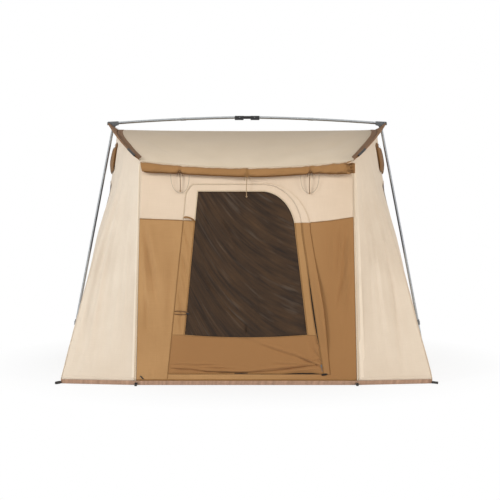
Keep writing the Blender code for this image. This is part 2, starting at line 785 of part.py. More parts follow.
def leg(word, side):
    inner = TUBE_RADIUS - TUBE_WALL
    upper = pipe(f"leg_upper_{word}", leg_point(-LEG_PAST_PIN, side), leg_point(UPPER_LEG_LENGTH, side),
                 TUBE_RADIUS, inner, STEEL)
    cut(upper, notch_cutter(word, side))
    lower_top = UPPER_LEG_LENGTH - LOWER_LEG_OVERLAP
    lower_outer = inner - TOUCH
    lower = pipe(f"leg_lower_{word}", leg_point(lower_top, side), leg_point(LEG_LENGTH - FOOT_SOLE, side),
                 lower_outer, lower_outer - TUBE_WALL, STEEL)

    collar_end = UPPER_LEG_LENGTH - COLLAR_ABOVE_END
    collar_start = collar_end - COLLAR_LENGTH
    collar = pipe(f"leg_collar_{word}", leg_point(collar_start, side), leg_point(collar_end, side),
                  COLLAR_DIAMETER / 2, TUBE_RADIUS + TOUCH, BLACK_PLASTIC)
    centre = leg_point((collar_start + collar_end) / 2, side)
    down = (leg_point(1, side) - leg_point(0, side)).normalized()
    outward = Vector((0, side, 0)).cross(down).normalized() * -1
    if outward.x * side < 0:
        outward = -outward
    cut(collar, rod_cutter(f"button_hole_{word}", centre + outward * (TUBE_RADIUS + TOUCH / 2),
                           centre + outward * COLLAR_DIAMETER, BUTTON_DIAMETER / 2 + RUNNING))
    button_top = COLLAR_DIAMETER / 2 + BUTTON_PROUD
    button_foot = TUBE_RADIUS + 2 * TOUCH + BUTTON_TRAVEL
    radius = BUTTON_DIAMETER / 2
    length = button_top - button_foot
    profile = [(0, length), (radius - 0.001, length), (radius, length - 0.001), (radius, 0), (0, 0)]
    button = turned(f"leg_button_{word}", profile, STEEL,
                    aim(centre + outward * button_foot, centre + outward * button_top), 16, ring=False)

    grip = lower_outer + TOUCH
    top = FOOT_HEIGHT
    foot_profile = [(FOOT_DIAMETER / 2 - 0.002, top), (FOOT_DIAMETER / 2, top - 0.003),
                    (FOOT_DIAMETER / 2, -0.010), (0, -0.010), (0, FOOT_SOLE - TOUCH),
                    (grip, FOOT_SOLE - TOUCH), (grip, top)]
    foot = turned(f"leg_foot_{word}", [*foot_profile[4:], *foot_profile[:4]], BLACK_PLASTIC,
                  aim(leg_point(LEG_LENGTH, side), leg_point(0, side)), ring=False)
    ground = cutter(box("ground", (side * FOOT_HALF_SPAN - 0.1, -0.1, -0.1),
                        (side * FOOT_HALF_SPAN + 0.1, 0.1, 0), STEEL), f"ground_{word}")
    cut(foot, ground)

    slide_axis = axis_empty(f"leg_slide_axis_{word}", aim(leg_point(lower_top, side), leg_point(0, side)))
    hang_on(slide_axis, lower, foot)
    press_axis = axis_empty(f"leg_button_axis_{word}", aim(centre + outward * button_top, centre))
    hang_on(press_axis, button)
    swing_axis = axis_empty(f"leg_axis_{word}", Matrix.Translation(leg_pin(side)))
    hang_on(swing_axis, upper, collar, slide_axis, press_axis)


def bar(word, side):
    """The bar and its two sleeves, each with a fin that the canvas is sewn to."""
    count = 6
    bend = [mix(-SLEEVE_START, SLEEVE_START, i / count) for i in range(1, count)]
    places = [*(-t for t in reversed(edge_places())), *bend, *edge_places()]
    tube(f"spring_bar_{word}", [bar_point(t, side) for t in places], BAR_RADIUS, STEEL)

    def fin_ring(centre, along, edge):
        """A tube round the bar that narrows to a flat fin which ends at the canvas edge."""
        ring = ring_points(centre, along, edge, BAR_RADIUS + 2 * TOUCH + SLEEVE_WALL, 10)
        across = along.normalized().cross(edge.normalized())
        tip = centre + edge * (1 - EDGE_CUTBACK / edge.length)
        half = across * CANVAS / 2
        ring[0] = tip + half
        ring[-1] = tip - half
        return ring

    for end_word, end in (("front", 1), ("rear", -1)):
        outer, inner = [], []
        for t in (*edge_places()[:-1], SLEEVE_END):
            centre = bar_point(end * t, side)
            along = bar_point(end * t + 0.005, side) - bar_point(end * t - 0.005, side)
            edge = canvas_edge(end * t, side) - centre
            outer.append(fin_ring(centre, along, edge))
            inner.append(ring_points(centre, along, edge, BAR_RADIUS + 2 * TOUCH, 10))
        loft(f"bar_sleeve_{end_word}_{word}", outer, BROWN, bore=inner)


def apex_strap(word, side):
    """A webbing yoke from the bar to the canvas corner, with a leg on each side of the end fitting."""
    wide = STRAP_INNER_EDGE + STRAP_WIDTH
    top = bar_point(wide / EAVE_DEPTH, side)
    foot = canvas_edge(0, side)
    run = foot - top
    run.y = 0
    length = run.length - BAR_RADIUS - 2 * TOUCH - STRAP_END_GAP
    run.normalize()
    start = Vector((top.x, 0, top.z)) + run * (BAR_RADIUS + 2 * TOUCH)
    across = Vector((0, 1, 0))
    frame = Matrix.Translation(start) @ Matrix((across, run, across.cross(run))).transposed().to_4x4()
    crotch = length - STRAP_WIDTH
    yoke = [(-wide, 0), (-STRAP_INNER_EDGE, 0), (-STRAP_INNER_EDGE, crotch), (STRAP_INNER_EDGE, crotch),
            (STRAP_INNER_EDGE, 0), (wide, 0), (wide, length), (-wide, length)]
    flat(f"apex_strap_{word}", [yoke], WEBBING, BLACK_WEB, frame)


# Canvas body

def roof():
    eave_gap = EDGE_CUTBACK / EAVE_DEPTH
    rows = [eave_gap / 2, *edge_places()[:-1], 1 - eave_gap]
    for word, end in (("front", 1), ("rear", -1)):
        cloth(f"roof_{word}", lambda u, v, end=end: roof_surface(u, spread(rows, v), end), 12, len(rows) - 1, CREAM)


def side_places():
    """Places across a side wall, from its rear corner seam to its front one."""
    side_gap = CORNER_CUTBACK * CORNER_SHARE / CORNER_DEPTH
    half = [t for t in edge_places() if t < CORNER_SHARE] + [CORNER_SHARE - side_gap]
    return [*(-t for t in reversed(half)), 0, *half]


def sides():
    wing_foot = (CORNER_OUT - WALL_FOOT_HALF) / (1 - CORNER_SHARE)
    wing_places = [CORNER_SHARE + CORNER_CUTBACK / wing_foot,
                   *(t for t in edge_places()[:-1] if t > CORNER_SHARE), 1 - WING_CUTBACK / wing_foot]
    top_gap = EDGE_CUTBACK / EAVE_HEIGHT
    places = side_places()
    columns = len(places) - 1
    for word, side in SIDES.items():
        def side_sheet(u, v, side=side):
            return side_surface(spread(places, u), mix(top_gap, 1, v), side)

        window = (WINDOW_COLUMNS, WINDOW_ROWS)
        cloth(f"side_wall_{word}", side_sheet, columns, SIDE_WALL_ROWS, CREAM, window)

        (c0, c1), (r0, r1) = window
        seam_across = WINDOW_SEAM / EAVE_DEPTH
        window_places = places[c0:c1 + 1]
        window_places = [window_places[0] + seam_across, *window_places[1:-1], window_places[-1] - seam_across]
        seam_down = WINDOW_SEAM / EAVE_HEIGHT

        def window_sheet(u, v, side=side):
            down = mix(r0 / SIDE_WALL_ROWS + seam_down, r1 / SIDE_WALL_ROWS - seam_down, v)
            return side_surface(spread(window_places, u), mix(top_gap, 1, down), side)

        cloth(f"side_mesh_{word}", window_sheet, c1 - c0, r1 - r0, MESH)
        for end_word, end in (("front", 1), ("rear", -1)):
            def wing_sheet(u, v, side=side, end=end):
                return side_surface(end * spread(wing_places, u), mix(top_gap, 1, v), side)

            cloth(f"wing_{end_word}_{word}", wing_sheet, 2 * (len(wing_places) - 1), SIDE_WALL_ROWS, CREAM)
        side_cover(word, side)


def side_cover(word, side):
    """The rolled window cover, strapped outside the wall just under the bar."""
    points = []
    for t in (-COVER_REACH, *(t for t in side_places() if abs(t) < COVER_REACH), COVER_REACH):
        place = side_surface(t, COVER_DOWN_WALL, side)
        along = side_surface(t + 0.01, COVER_DOWN_WALL, side) - side_surface(t - 0.01, COVER_DOWN_WALL, side)
        down = side_surface(t, COVER_DOWN_WALL + 0.01, side) - side_surface(t, COVER_DOWN_WALL - 0.01, side)
        out = along.cross(down).normalized()
        if out.x * side < 0:
            out = -out
        points.append(place + out * (COVER_RADIUS + COVER_STANDOFF))
    tube(f"side_cover_roll_{word}", points, COVER_RADIUS, TAN)


def front_wall():
    wall = wall_matrix(1)
    band = BAND_HEIGHT + HALF_SEAM
    top_half = wall_side(EAVE_HEIGHT)
    count = 12
    eave = [mix(top_half, -top_half, i / count) for i in range(count + 1)]
    eave = [(x, eave_height(x) - EDGE_CUTBACK) for x in eave]
    upper = [(-wall_side(band), band), *shift_line(doorway_line(band), HALF_SEAM), (wall_side(band), band), *eave]
    flat("front_wall_upper", [on_wall(upper)], CANVAS, CREAM, wall)

    band = BAND_HEIGHT - HALF_SEAM
    sill = DOOR_SILL - HALF_SEAM
    lower = [(-wall_side(WALL_BOTTOM), WALL_BOTTOM), (wall_side(WALL_BOTTOM), WALL_BOTTOM),
             (wall_side(band), band), *reversed(zip_edge(sill, band, HALF_SEAM)),
             (hinge_x(sill) - HALF_SEAM, sill), (hinge_x(band) - HALF_SEAM, band), (-wall_side(band), band)]
    flat("front_wall_lower", [on_wall(lower)], CANVAS, TAN, wall)

    inner = [point for point in doorway_line(DOOR_SILL) if point[0] > ZIP_KNEE - ZIP_ARC_WIDTH]
    inner = shift_line(inner, SEAM + 0.001)
    outer = quarter((ZIP_KNEE - ZIP_ARC_WIDTH, ZIP_KNEE_HEIGHT), FLAP_KNEE - ZIP_KNEE + ZIP_ARC_WIDTH,
                    DOOR_TOP - ZIP_KNEE_HEIGHT + 0.012, 88, 0, 9)
    outer += [(FLAP_HIP, FLAP_HIP_HEIGHT), (FLAP_FOOT, DOOR_SILL)]
    flap = [*inner, *reversed(outer)]
    flat("storm_flap", [on_wall(flap)], CANVAS, TAN, wall, lift=CANVAS + TOUCH)


def door():
    wall = wall_matrix(1)
    cream_edge = BAND_HEIGHT + HALF_SEAM
    tan_edge = BAND_HEIGHT - HALF_SEAM
    outer = shift_line(doorway_line(cream_edge), -HALF_SEAM)
    inner = shift_line(mesh_line(cream_edge), HALF_SEAM)
    upper = flat("door_panel_upper", [on_wall([*outer, *reversed(inner)])], CANVAS, CREAM, wall)

    foot = DOOR_SILL + HALF_SEAM
    sill = MESH_SILL - HALF_SEAM
    arc = [(x, height) for x, height in mesh_line(ZIP_KNEE_HEIGHT)[2:-1] if height < tan_edge]
    mesh_side = [(mesh_right(sill), sill), (mesh_right(ZIP_KNEE_HEIGHT), ZIP_KNEE_HEIGHT), *reversed(arc),
                 (mesh_right(tan_edge), tan_edge)]
    outline = [(hinge_x(foot) + HALF_SEAM, foot), (hinge_x(tan_edge) + HALF_SEAM, tan_edge),
               (mesh_left(tan_edge) - HALF_SEAM, tan_edge), (mesh_left(sill) - HALF_SEAM, sill),
               *((x + HALF_SEAM, height) for x, height in mesh_side),
               *reversed(zip_edge(foot, tan_edge, -HALF_SEAM))]
    lower = flat("door_panel_lower", [on_wall(outline)], CANVAS, TAN, wall)
    screen = flat("door_mesh", [on_wall(shift_line(mesh_line(MESH_SILL), -HALF_SEAM))], CANVAS, MESH, wall)

    inner_face = -CANVAS / 2
    (foot_x, foot_y), (top_x, top_y) = on_wall([(hinge_x(DOOR_SILL), DOOR_SILL), (hinge_x(DOOR_TOP), DOOR_TOP)])
    hinge = aim(wall @ Vector((foot_x, foot_y, inner_face)), wall @ Vector((top_x, top_y, inner_face)))
    swing_axis = axis_empty("door_axis", hinge)
    hang_on(swing_axis, upper, lower, screen, zip_slider(wall))
    tie_backs(wall)


def zip_slider(wall):
    """The slider and its hanging pull, as one piece on the door's edge beside the zip."""
    low = DOOR_SILL + SLIDER_ABOVE_SILL
    (x0, y0), (x1, y1) = on_wall([(zip_x(low), low), (zip_x(ZIP_KNEE_HEIGHT), ZIP_KNEE_HEIGHT)])
    run = Vector((x1 - x0, y1 - y0, 0)).normalized()
    inward = SLIDER_WIDTH / 2 + SEAM + TOUCH
    lift = CANVAS / 2 + TOUCH + SLIDER_THICK / 2
    centre = Vector((x0, y0, lift)) + Vector((-run.y, run.x, 0)) * inward
    half, long = SLIDER_WIDTH / 2, SLIDER_LENGTH / 2
    tab = 0.35 * half
    outline = [(half, long), (-half, long), (-0.8 * half, -long), (-tab, -long), (-tab, -long - PULL_LENGTH),
               (tab, -long - PULL_LENGTH), (tab, -long), (0.8 * half, -long)]
    turn = Matrix.Rotation(math.atan2(run.y, run.x) - math.pi / 2, 4, "Z")
    slider = flat("zip_slider", [outline], SLIDER_THICK, DARK_STEEL, wall @ Matrix.Translation(centre) @ turn)
    start = wall @ centre
    slide_axis = axis_empty("zip_slide_axis", aim(start, wall @ (centre + run)))
    hang_on(slide_axis, slider)
    return slide_axis


def tie_backs(wall):
    """Short straps sewn to the wall beside the hinge, each with a toggle on its end."""
    lift = CANVAS + TOUCH
    half = TIEBACK_WIDTH / 2
    reach = TOGGLE_LENGTH / 2
    radius = TOGGLE_DIAMETER / 2
    for word, height in zip(("lower", "upper"), TIEBACK_HEIGHTS):
        start = hinge_x(height) - TIEBACK_SEAM
        end = start + TIEBACK_LENGTH
        corners = [(start, height - half), (end, height - half), (end, height + half), (start, height + half)]
        strap = as_mesh(flat(f"tie_back_{word}", [on_wall(corners)], WEBBING, BROWN, wall, lift))
        (x, y), = on_wall([(end, height)])
        depth = CANVAS / 2 + TOUCH + radius
        profile = [(0, reach), (radius - 0.002, reach), (radius, reach - 0.002), (radius, 0.002 - reach),
                   (radius - 0.002, -reach), (0, -reach)]
        ends = [wall @ Vector((x, y, depth)), wall @ Vector((x, y + 1, depth))]
        join(strap, turned(f"toggle_{word}", profile, BLACK_PLASTIC, aim(*ends), 12, ring=False))


def rear_wall():
    wall = wall_matrix(-1)
    top_half = wall_side(EAVE_HEIGHT)
    count = 12
    eave = [mix(top_half, -top_half, i / count) for i in range(count + 1)]
    eave = [(x, eave_height(x) - EDGE_CUTBACK) for x in eave]
    sheet = [(-wall_side(WALL_BOTTOM), WALL_BOTTOM), (wall_side(WALL_BOTTOM), WALL_BOTTOM), *eave]
    half, sill, top = REAR_WINDOW_HALF, REAR_WINDOW_SILL, REAR_WINDOW_TOP
    opening = [(-half, sill), (half, sill), (half, top), (-half, top)]
    flat("rear_wall", [on_wall(sheet), on_wall(opening)], CANVAS, CREAM, wall)
    screen = [(x - math.copysign(SEAM, x), z + (SEAM if z < top else -SEAM)) for x, z in opening]
    flat("rear_mesh", [on_wall(screen)], CANVAS, MESH, wall)
    (_, height), = on_wall([(0, REAR_COVER_HEIGHT)])
    lift = CANVAS / 2 + TOUCH + COVER_RADIUS
    ends = [wall @ Vector((x, height, lift)) for x in (-REAR_COVER_HALF, REAR_COVER_HALF)]
    profile = [(0, 2 * REAR_COVER_HALF), (COVER_RADIUS, 2 * REAR_COVER_HALF), (COVER_RADIUS, 0), (0, 0)]
    turned("rear_cover_roll", profile, TAN, aim(*ends), 16, ring=False)


def awning():
    """The awning rolled up on itself, as one long strip wound about its own axis."""
    spiral = roll_spiral()
    strip = ROLL_CLOTH_SHARE * (1 - ROLL_CORE_SHARE) / ROLL_TURNS
    inner_face = [(y * (1 - strip / math.hypot(y, z)), z * (1 - strip / math.hypot(y, z))) for y, z in spiral]
    rings = []
    for x in roll_places():
        centre, radius = roll_centre(x), roll_radius(x)
        rings.append([centre + radius * Vector((0, y, z)) for y, z in (*spiral, *reversed(inner_face))])
    loft("awning_roll", rings, TAN)


def hanging_cord(name, start, length, diameter, lean, finish):
    """A cord that hangs from start, leaning sideways by lean and curving back at its end."""
    count = max(8, round(length / (2.8 * diameter)))
    route = []
    for i in range(count + 1):
        share = i / count
        route.append(start + Vector((lean * math.sin(0.75 * math.pi * share), 0, -length * share)))
    return tube(name, route, diameter / 2, finish, resolution=1)


def awning_ties():
    """The cords that hang from the roll, and the elastic loops behind the two outer ones."""
    for word, x, length in zip(("left", "middle", "right"), TIE_PLACES, TIE_LENGTHS):
        start = roll_underside(x) - Vector((0, 0, TOUCH))
        hanging_cord(f"awning_tie_{word}", start, length, TIE_DIAMETER, 0.003, CORD)
    for word, x in (("left", TIE_PLACES[0]), ("right", TIE_PLACES[2])):
        first, last = (roll_underside(x + side * LOOP_SPREAD) - Vector((0, 0, TOUCH)) for side in (-1, 1))
        route = []
        count = 44
        for i in range(count + 1):
            angle = math.pi * i / count
            place = first.lerp(last, (1 - math.cos(angle)) / 2)
            drop = math.sin(angle) ** 0.8
            route.append(place + Vector((0, LOOP_BEHIND * drop, -LOOP_DROP * drop)))
        tube(f"awning_loop_{word}", route, LOOP_DIAMETER / 2, PALE_CORD, resolution=1)


def floor_tray():
    def outline(grow, z):
        corners = []
        for side, end in ((-1, 1), (1, 1), (1, -1), (-1, -1)):
            corner = (side * (CORNER_OUT + grow), -end * (CORNER_DEPTH + grow), z)
            seam = (side * WALL_FOOT_HALF, -end * (FRONT_FOOT + grow), z)
            corners += [corner, seam] if side * end < 0 else [seam, corner]
        return corners

    half = FLOOR_CLOTH / 2
    rings = [outline(half, 0), outline(half, LIP_HEIGHT), outline(-half, LIP_HEIGHT), outline(-half, FLOOR_CLOTH)]
    tray = loft("floor_tray", rings, FLOOR)
    for loop in peg_loops():
        join(tray, loop)


def peg_loops():
    """Webbing loops sewn along the foot: at each corner, each door-wall seam and half way back."""
    halves = (-1, 1)
    places = []
    for side in halves:
        places.append((side * CORNER_OUT, 0, side, 0))
        for end in halves:
            places.append((side * CORNER_OUT, -end * CORNER_DEPTH, side, -end))
            places.append((side * WALL_FOOT_HALF, -end * FRONT_FOOT, 0, -end))
    loops = []
    for number, (x, y, out_x, out_y) in enumerate(places):
        out = Vector((out_x, out_y)).normalized()
        across = Vector((-out.y, out.x))
        centre = Vector((x, y)) + out * PEG_LOOP_LENGTH / 2
        ovals = []
        for inset in (0, WEBBING):
            width = PEG_LOOP_WIDTH / 2 - inset
            straight = (PEG_LOOP_LENGTH - PEG_LOOP_WIDTH) / 2
            oval = quarter((straight, 0), width, width, -90, 90, 4)
            oval += [(-u, -v) for u, v in oval]
            ovals.append([tuple(centre + out * u + across * v) for u, v in oval])
        loop = flat(f"peg_loop_{number}", ovals, PEG_LOOP_HEIGHT, BLACK_WEB)
        loop.location.z = PEG_LOOP_HEIGHT / 2 + PEG_LOOP_LIFT
        loops.append(as_mesh(loop))
    return loops


def build():
    hub()
    for word, side in SIDES.items():
        inner_tube, outer_tube = ridge_half(word, side)
        fitting = end_fitting(word, side)
        clevis_pin = headed_pin(f"leg_pin_{word}", leg_pin(side), FITTING_HALF_WIDTH)
        leg(word, side)
        fold_axis = axis_empty(f"ridge_axis_{word}", Matrix.Translation(ridge_point(HUB_PIN_OUT, side)))
        hang_on(fold_axis, inner_tube, outer_tube, fitting, clevis_pin)
        bar(word, side)
        apex_strap(word, side)
    roof()
    sides()
    front_wall()
    door()
    rear_wall()
    awning()
    awning_ties()
    floor_tray()


build()
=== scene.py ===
"""Looks of a canvas cabin tent: sewn canvas, mesh, webbing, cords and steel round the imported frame.

Metres, +Z up, the door faces -Y. A wall is laid out by x and by height above the ground, as seen from
outside it. A side is laid out by t, which runs from the rear eave (-1) over the ridge (0) to the front
eave (1), and by down, which runs from its sleeve (0) to its foot (1).
"""

import math

import bmesh
import bpy
import numpy as np
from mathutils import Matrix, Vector
from mathutils.geometry import delaunay_2d_cdt


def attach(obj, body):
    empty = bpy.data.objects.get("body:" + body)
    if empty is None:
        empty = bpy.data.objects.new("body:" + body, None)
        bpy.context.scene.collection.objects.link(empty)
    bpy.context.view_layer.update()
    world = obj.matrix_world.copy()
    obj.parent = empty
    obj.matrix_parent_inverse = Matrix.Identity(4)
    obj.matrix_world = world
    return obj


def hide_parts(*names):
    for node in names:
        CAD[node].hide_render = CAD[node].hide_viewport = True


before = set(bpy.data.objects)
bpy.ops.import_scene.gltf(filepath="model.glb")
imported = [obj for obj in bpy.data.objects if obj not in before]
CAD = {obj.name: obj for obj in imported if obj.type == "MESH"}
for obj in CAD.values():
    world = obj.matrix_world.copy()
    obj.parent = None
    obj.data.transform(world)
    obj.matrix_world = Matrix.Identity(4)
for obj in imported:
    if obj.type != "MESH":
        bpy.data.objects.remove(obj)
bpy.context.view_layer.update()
ENDS = (("front", 1), ("rear", -1))
SIDES = (("left", -1), ("right", 1))

# Body of the tent
FRONT_FOOT, CORNER_OUT, CORNER_DEPTH = 1.525, 1.525, 1.445
LIP_HEIGHT, WALL_BOTTOM, FLOOR_CLOTH = 0.036, 0.0366, 0.003
WALL_FOOT_HALF, WALL_TOP_HALF, WALL_LEAN = 0.897, 0.868, 0.115
EAVE_DEPTH, EAVE_HEIGHT, EAVE_SAG = 1.41, 1.823, 0.055
RIDGE_SAG, ROOF_BILLOW, SIDE_SWELL, FOLD_DEPTH = 0.010, 0.012, 0.024, 0.007
TOP_DRAW, DRAW_MIDDLE, DRAW_WIDTH = 0.018, 0.21, 0.13
CORNER_SHARE = 0.65
WALL_TILT = math.atan2(WALL_LEAN, EAVE_HEIGHT - LIP_HEIGHT)
# Metres of cloth to a unit across and along, for its weave and for its ripples
ROOF_CUT, SIDE_CUT = (2.35, 1.46), (1.95, 2.2)
ROOF_SPAN, ROOF_RUN, SIDE_RUN, SIDE_FALL = 2.3, 1.5, 2.2, 2.1

# Roof bars and their sleeves
BAR_RADIUS, APEX_HALF_SPAN, APEX_HEIGHT = 0.00475, 1.325, 2.266
BAR_END_HALF_SPAN, BAR_END_HEIGHT, BAR_BOW, BAR_BEND = 0.915, 1.868, 0.0175, 0.05
FIN_WIDTH, FIN_DROP, APEX_TUCK_IN, APEX_TUCK_DOWN, TUCK_REACH = 0.047, 0.045, 0.103, 0.063, 0.35
SLEEVE_START, SLEEVE_END, POCKET_START, SLEEVE_OFF = 0.05, 0.998, 0.83, 0.0028
LEAF_WIDTH, LEAF_START, LEAF_END = 0.052, 0.02, 0.945
APEX_WEB, APEX_WEB_OUT, APEX_BRIDGE_HALF = 0.018, 0.031, 0.038

# Door, as distances from the wall's middle and heights above the ground
DOOR_SILL, DOOR_TOP, HINGE_FOOT, HINGE_SLANT = 0.087, 1.632, -0.639, 0.099
HINGE_CORNER_HEIGHT, HINGE_CORNER_WIDTH = 1.50, 0.078
ZIP_FOOT, ZIP_KNEE_HEIGHT, ZIP_KNEE, ZIP_ARC_WIDTH = 0.625, 1.25, 0.455, 0.318
MESH_SILL, MESH_SAG, MESH_TOP = 0.408, 0.020, 1.575
MESH_FOOT_LEFT, MESH_TOP_LEFT, MESH_FOOT_RIGHT = -0.503, -0.398, 0.493
MESH_KNEE, MESH_ARC_WIDTH = 0.395, 0.272
FLAP_KNEE, FLAP_HIP, FLAP_HIP_HEIGHT, FLAP_FOOT, FLAP_BAND = 0.520, 0.630, 0.60, 0.679, 1.32
ZIP_TAPE_WIDTH, ZIP_TAPE_OFF, ZIP_TAPE_LIFT, ZIP_COIL = 0.0145, 0.0075, -0.0042, 0.0026
BAND_X = (-0.868, -0.50, 0.0, 0.40, 0.55, 0.70, 0.868)
BAND_Z = (1.352, 1.338, 1.326, 1.318, 1.322, 1.338, 1.364)
BAND_END = 1.35

# Rolled awning, its ties and the window covers
ROLL_GIRTHS = ((-0.866, 0.036), (-0.544, 0.029), (0.004, 0.031), (0.517, 0.029), (0.866, 0.044))
ROLL_TALL, ROLL_HEM_TURN = 1.15, 1.02
ROLL_TURNS, ROLL_CORE_SHARE, ROLL_STEPS = 2.75, 0.30, 26
TIE_PLACES, TIE_LENGTHS = (-0.544, 0.004, 0.517), (0.145, 0.155, 0.160)
LOOP_DROP, LOOP_SPREAD = 0.150, 0.075
COVER_TURNS, COVER_CORE_SHARE, COVER_STEPS, COVER_RINGS = 2.6, 0.25, 22, 90
COVER_DEPTH, COVER_HALF_HEIGHT, COVER_MIDDLE, COVER_REACH = 0.034, 0.150, 1.905, 0.345
REAR_COVER_RADIUS, REAR_COVER_HALF, REAR_COVER_HEIGHT = 0.026, 0.60, 1.65
SIDE_WINDOW_T, SIDE_WINDOW_DOWN = 0.329, (2 / 9, 5 / 9)
REAR_WINDOW_HALF, REAR_WINDOW_SILL, REAR_WINDOW_TOP = 0.52, 0.95, 1.58

# Thicknesses, the gap between two pieces of cloth at a seam, and widths of seams and straps
CANVAS, WEBBING, SCREEN_CLOTH, DOUBLE_CLOTH = 0.0014, 0.0018, 0.0008, 0.0016
SEWN_GAP, SEAM, BAND_SEAM, STRAP = 0.0006, 0.006, 0.007, 0.020

# Camera
CAMERA_PLACE, CAMERA_TILT, CAMERA_LENS = (0.028, -9.49, 1.35), 1.8, 70.85


# Numbers

def mix(a, b, share):
    return a + (b - a) * share


def hump(share):
    return 4 * share * (1 - share)


def ease(low, high, value):
    """0 below low, 1 above high, and smooth between."""
    share = np.clip((np.asarray(value, float) - low) / (high - low), 0, 1)
    return share * share * (3 - 2 * share)


def stack(x, y, z):
    return np.stack(np.broadcast_arrays(x, y, z), axis=-1).astype(float)


def unit(vectors):
    return vectors / np.linalg.norm(vectors, axis=-1, keepdims=True)


def pairs(x, z):
    return np.stack(np.broadcast_arrays(x, z), axis=-1)


def bell(value, middle, width):
    return np.exp(-((value - middle) / width) ** 2)


def circle(count):
    """Angles round a whole turn."""
    return np.linspace(0, 2 * math.pi, count, endpoint=False)


def distances(line):
    """How far along a line each of its points is."""
    return np.concatenate(([0], np.cumsum(np.linalg.norm(np.diff(line, axis=0), axis=1))))


def quarter(centre, width, rise, start, end, steps):
    """Points of an ellipse's arc from start to end, in degrees."""
    angles = np.radians(np.linspace(start, end, steps + 1))
    return np.stack((centre[0] + width * np.cos(angles), centre[1] + rise * np.sin(angles)), axis=-1)


def shift_line(points, distance):
    """Moves an open line of points to its left by distance."""
    points = np.asarray(points, float)
    run = unit(np.gradient(points, axis=0))
    return points + distance * np.stack((-run[:, 1], run[:, 0]), axis=-1)


def spaced(points, spacing, closed=False):
    """A line of points with more put in, so that none are further apart than spacing."""
    points = np.asarray(points, float)
    ends = np.roll(points, -1, axis=0) if closed else points[1:]
    made = []
    for a, b in zip(points, ends):
        steps = max(1, math.ceil(np.linalg.norm(b - a) / spacing))
        made += [mix(a, b, i / steps) for i in range(steps)]
    return np.array(made if closed else made + [points[-1]])


def smooth_line(points, count):
    """A smooth curve of count points through a few places."""
    points = np.asarray(points, float)
    padded = np.vstack((2 * points[0] - points[1], points, 2 * points[-1] - points[-2]))
    made = []
    for at in np.linspace(0, len(points) - 1, count):
        i = min(int(at), len(points) - 2)
        s = at - i
        p0, p1, p2, p3 = padded[i:i + 4]
        made.append(0.5 * (2 * p1 + (p2 - p0) * s + (2 * p0 - 5 * p1 + 4 * p2 - p3) * s ** 2
                           + (3 * p1 - p0 - 3 * p2 + p3) * s ** 3))
    return np.array(made)


def inside(points, outline):
    """Whether each point lies inside a closed outline."""
    x, y = points[:, 0, None], points[:, 1, None]
    x0, y0 = outline[:, 0], outline[:, 1]
    x1, y1 = np.roll(x0, -1), np.roll(y0, -1)
    spans = (y0 > y) != (y1 > y)
    rise = np.where(y1 == y0, 1, y1 - y0)
    return (spans & (x < (x1 - x0) * (y - y0) / rise + x0)).sum(axis=1) % 2 == 1


# How cloth folds

def folds(u, v, rows):
    """Soft creases. Each row is where it starts and ends, its width, and how far it stands out."""
    total = np.zeros(np.broadcast(u, v).shape)
    for u0, v0, u1, v1, width, height in rows:
        run_u, run_v = u1 - u0, v1 - v0
        length = math.hypot(run_u, run_v)
        along = np.clip(((u - u0) * run_u + (v - v0) * run_v) / length ** 2, 0, 1)
        off = ((v - v0) * run_u - (u - u0) * run_v) / length
        total += height * np.exp(-(off / width) ** 2) * np.sin(math.pi * along) ** 0.7
    return total


def ripple(u, v, length, height, seed, count=7):
    """Gentle unevenness: waves of about one length, with directions and phases from a seed."""
    random = np.random.default_rng(seed)
    total = 0
    for _ in range(count):
        angle, phase = random.uniform(0, math.pi), random.uniform(0, 2 * math.pi)
        waves = 2 * math.pi / (length * random.uniform(0.7, 1.4))
        total = total + np.sin(waves * (u * math.cos(angle) + v * math.sin(angle)) + phase)
    return height * total / count


def creases(u, v, length, depth, seed):
    """Fine sharp wrinkles: ridges where a few ripples cross zero."""
    ridges = 1 - np.abs(ripple(u, v, length, 1, seed)) * 3
    return depth * np.clip(ridges, 0, 1) ** 3


# Lines and surfaces of the tent

def bar_point(t, side=1):
    """The roof bar's axis."""
    share = (np.hypot(t, BAR_BEND) - BAR_BEND) / (math.hypot(1, BAR_BEND) - BAR_BEND)
    x = mix(APEX_HALF_SPAN, BAR_END_HALF_SPAN, share) + BAR_BOW * hump(share)
    return stack(side * x, -EAVE_DEPTH * t, mix(APEX_HEIGHT, BAR_END_HEIGHT, share))


def canvas_edge(t, side=1):
    """The fold where roof, side and fin meet, inside and below the bar."""
    tuck = np.maximum(0, 1 - np.abs(t) / TUCK_REACH) ** 2
    inward, down = mix(FIN_WIDTH, APEX_TUCK_IN, tuck), mix(FIN_DROP, APEX_TUCK_DOWN, tuck)
    return bar_point(t, side) - stack(side * inward, 0, down)


def floor_edge(t, side=1):
    """The foot of the side wall and of the wings that close it to the front and rear walls."""
    wing = np.clip((np.abs(t) - CORNER_SHARE) / (1 - CORNER_SHARE), 0, 1)
    depth = CORNER_DEPTH * np.minimum(np.abs(t) / CORNER_SHARE, 1) + wing * (FRONT_FOOT - CORNER_DEPTH)
    return stack(side * mix(CORNER_OUT, WALL_FOOT_HALF, wing), -np.sign(t) * depth, WALL_BOTTOM)


def side_out(t, side):
    """Roughly outward from the side wall, turning to the front and rear round the corner seams."""
    turn = np.radians(78) * ease(CORNER_SHARE - 0.12, CORNER_SHARE + 0.12, np.abs(t))
    return stack(side * np.cos(turn), -np.sign(t) * np.sin(turn), 0)


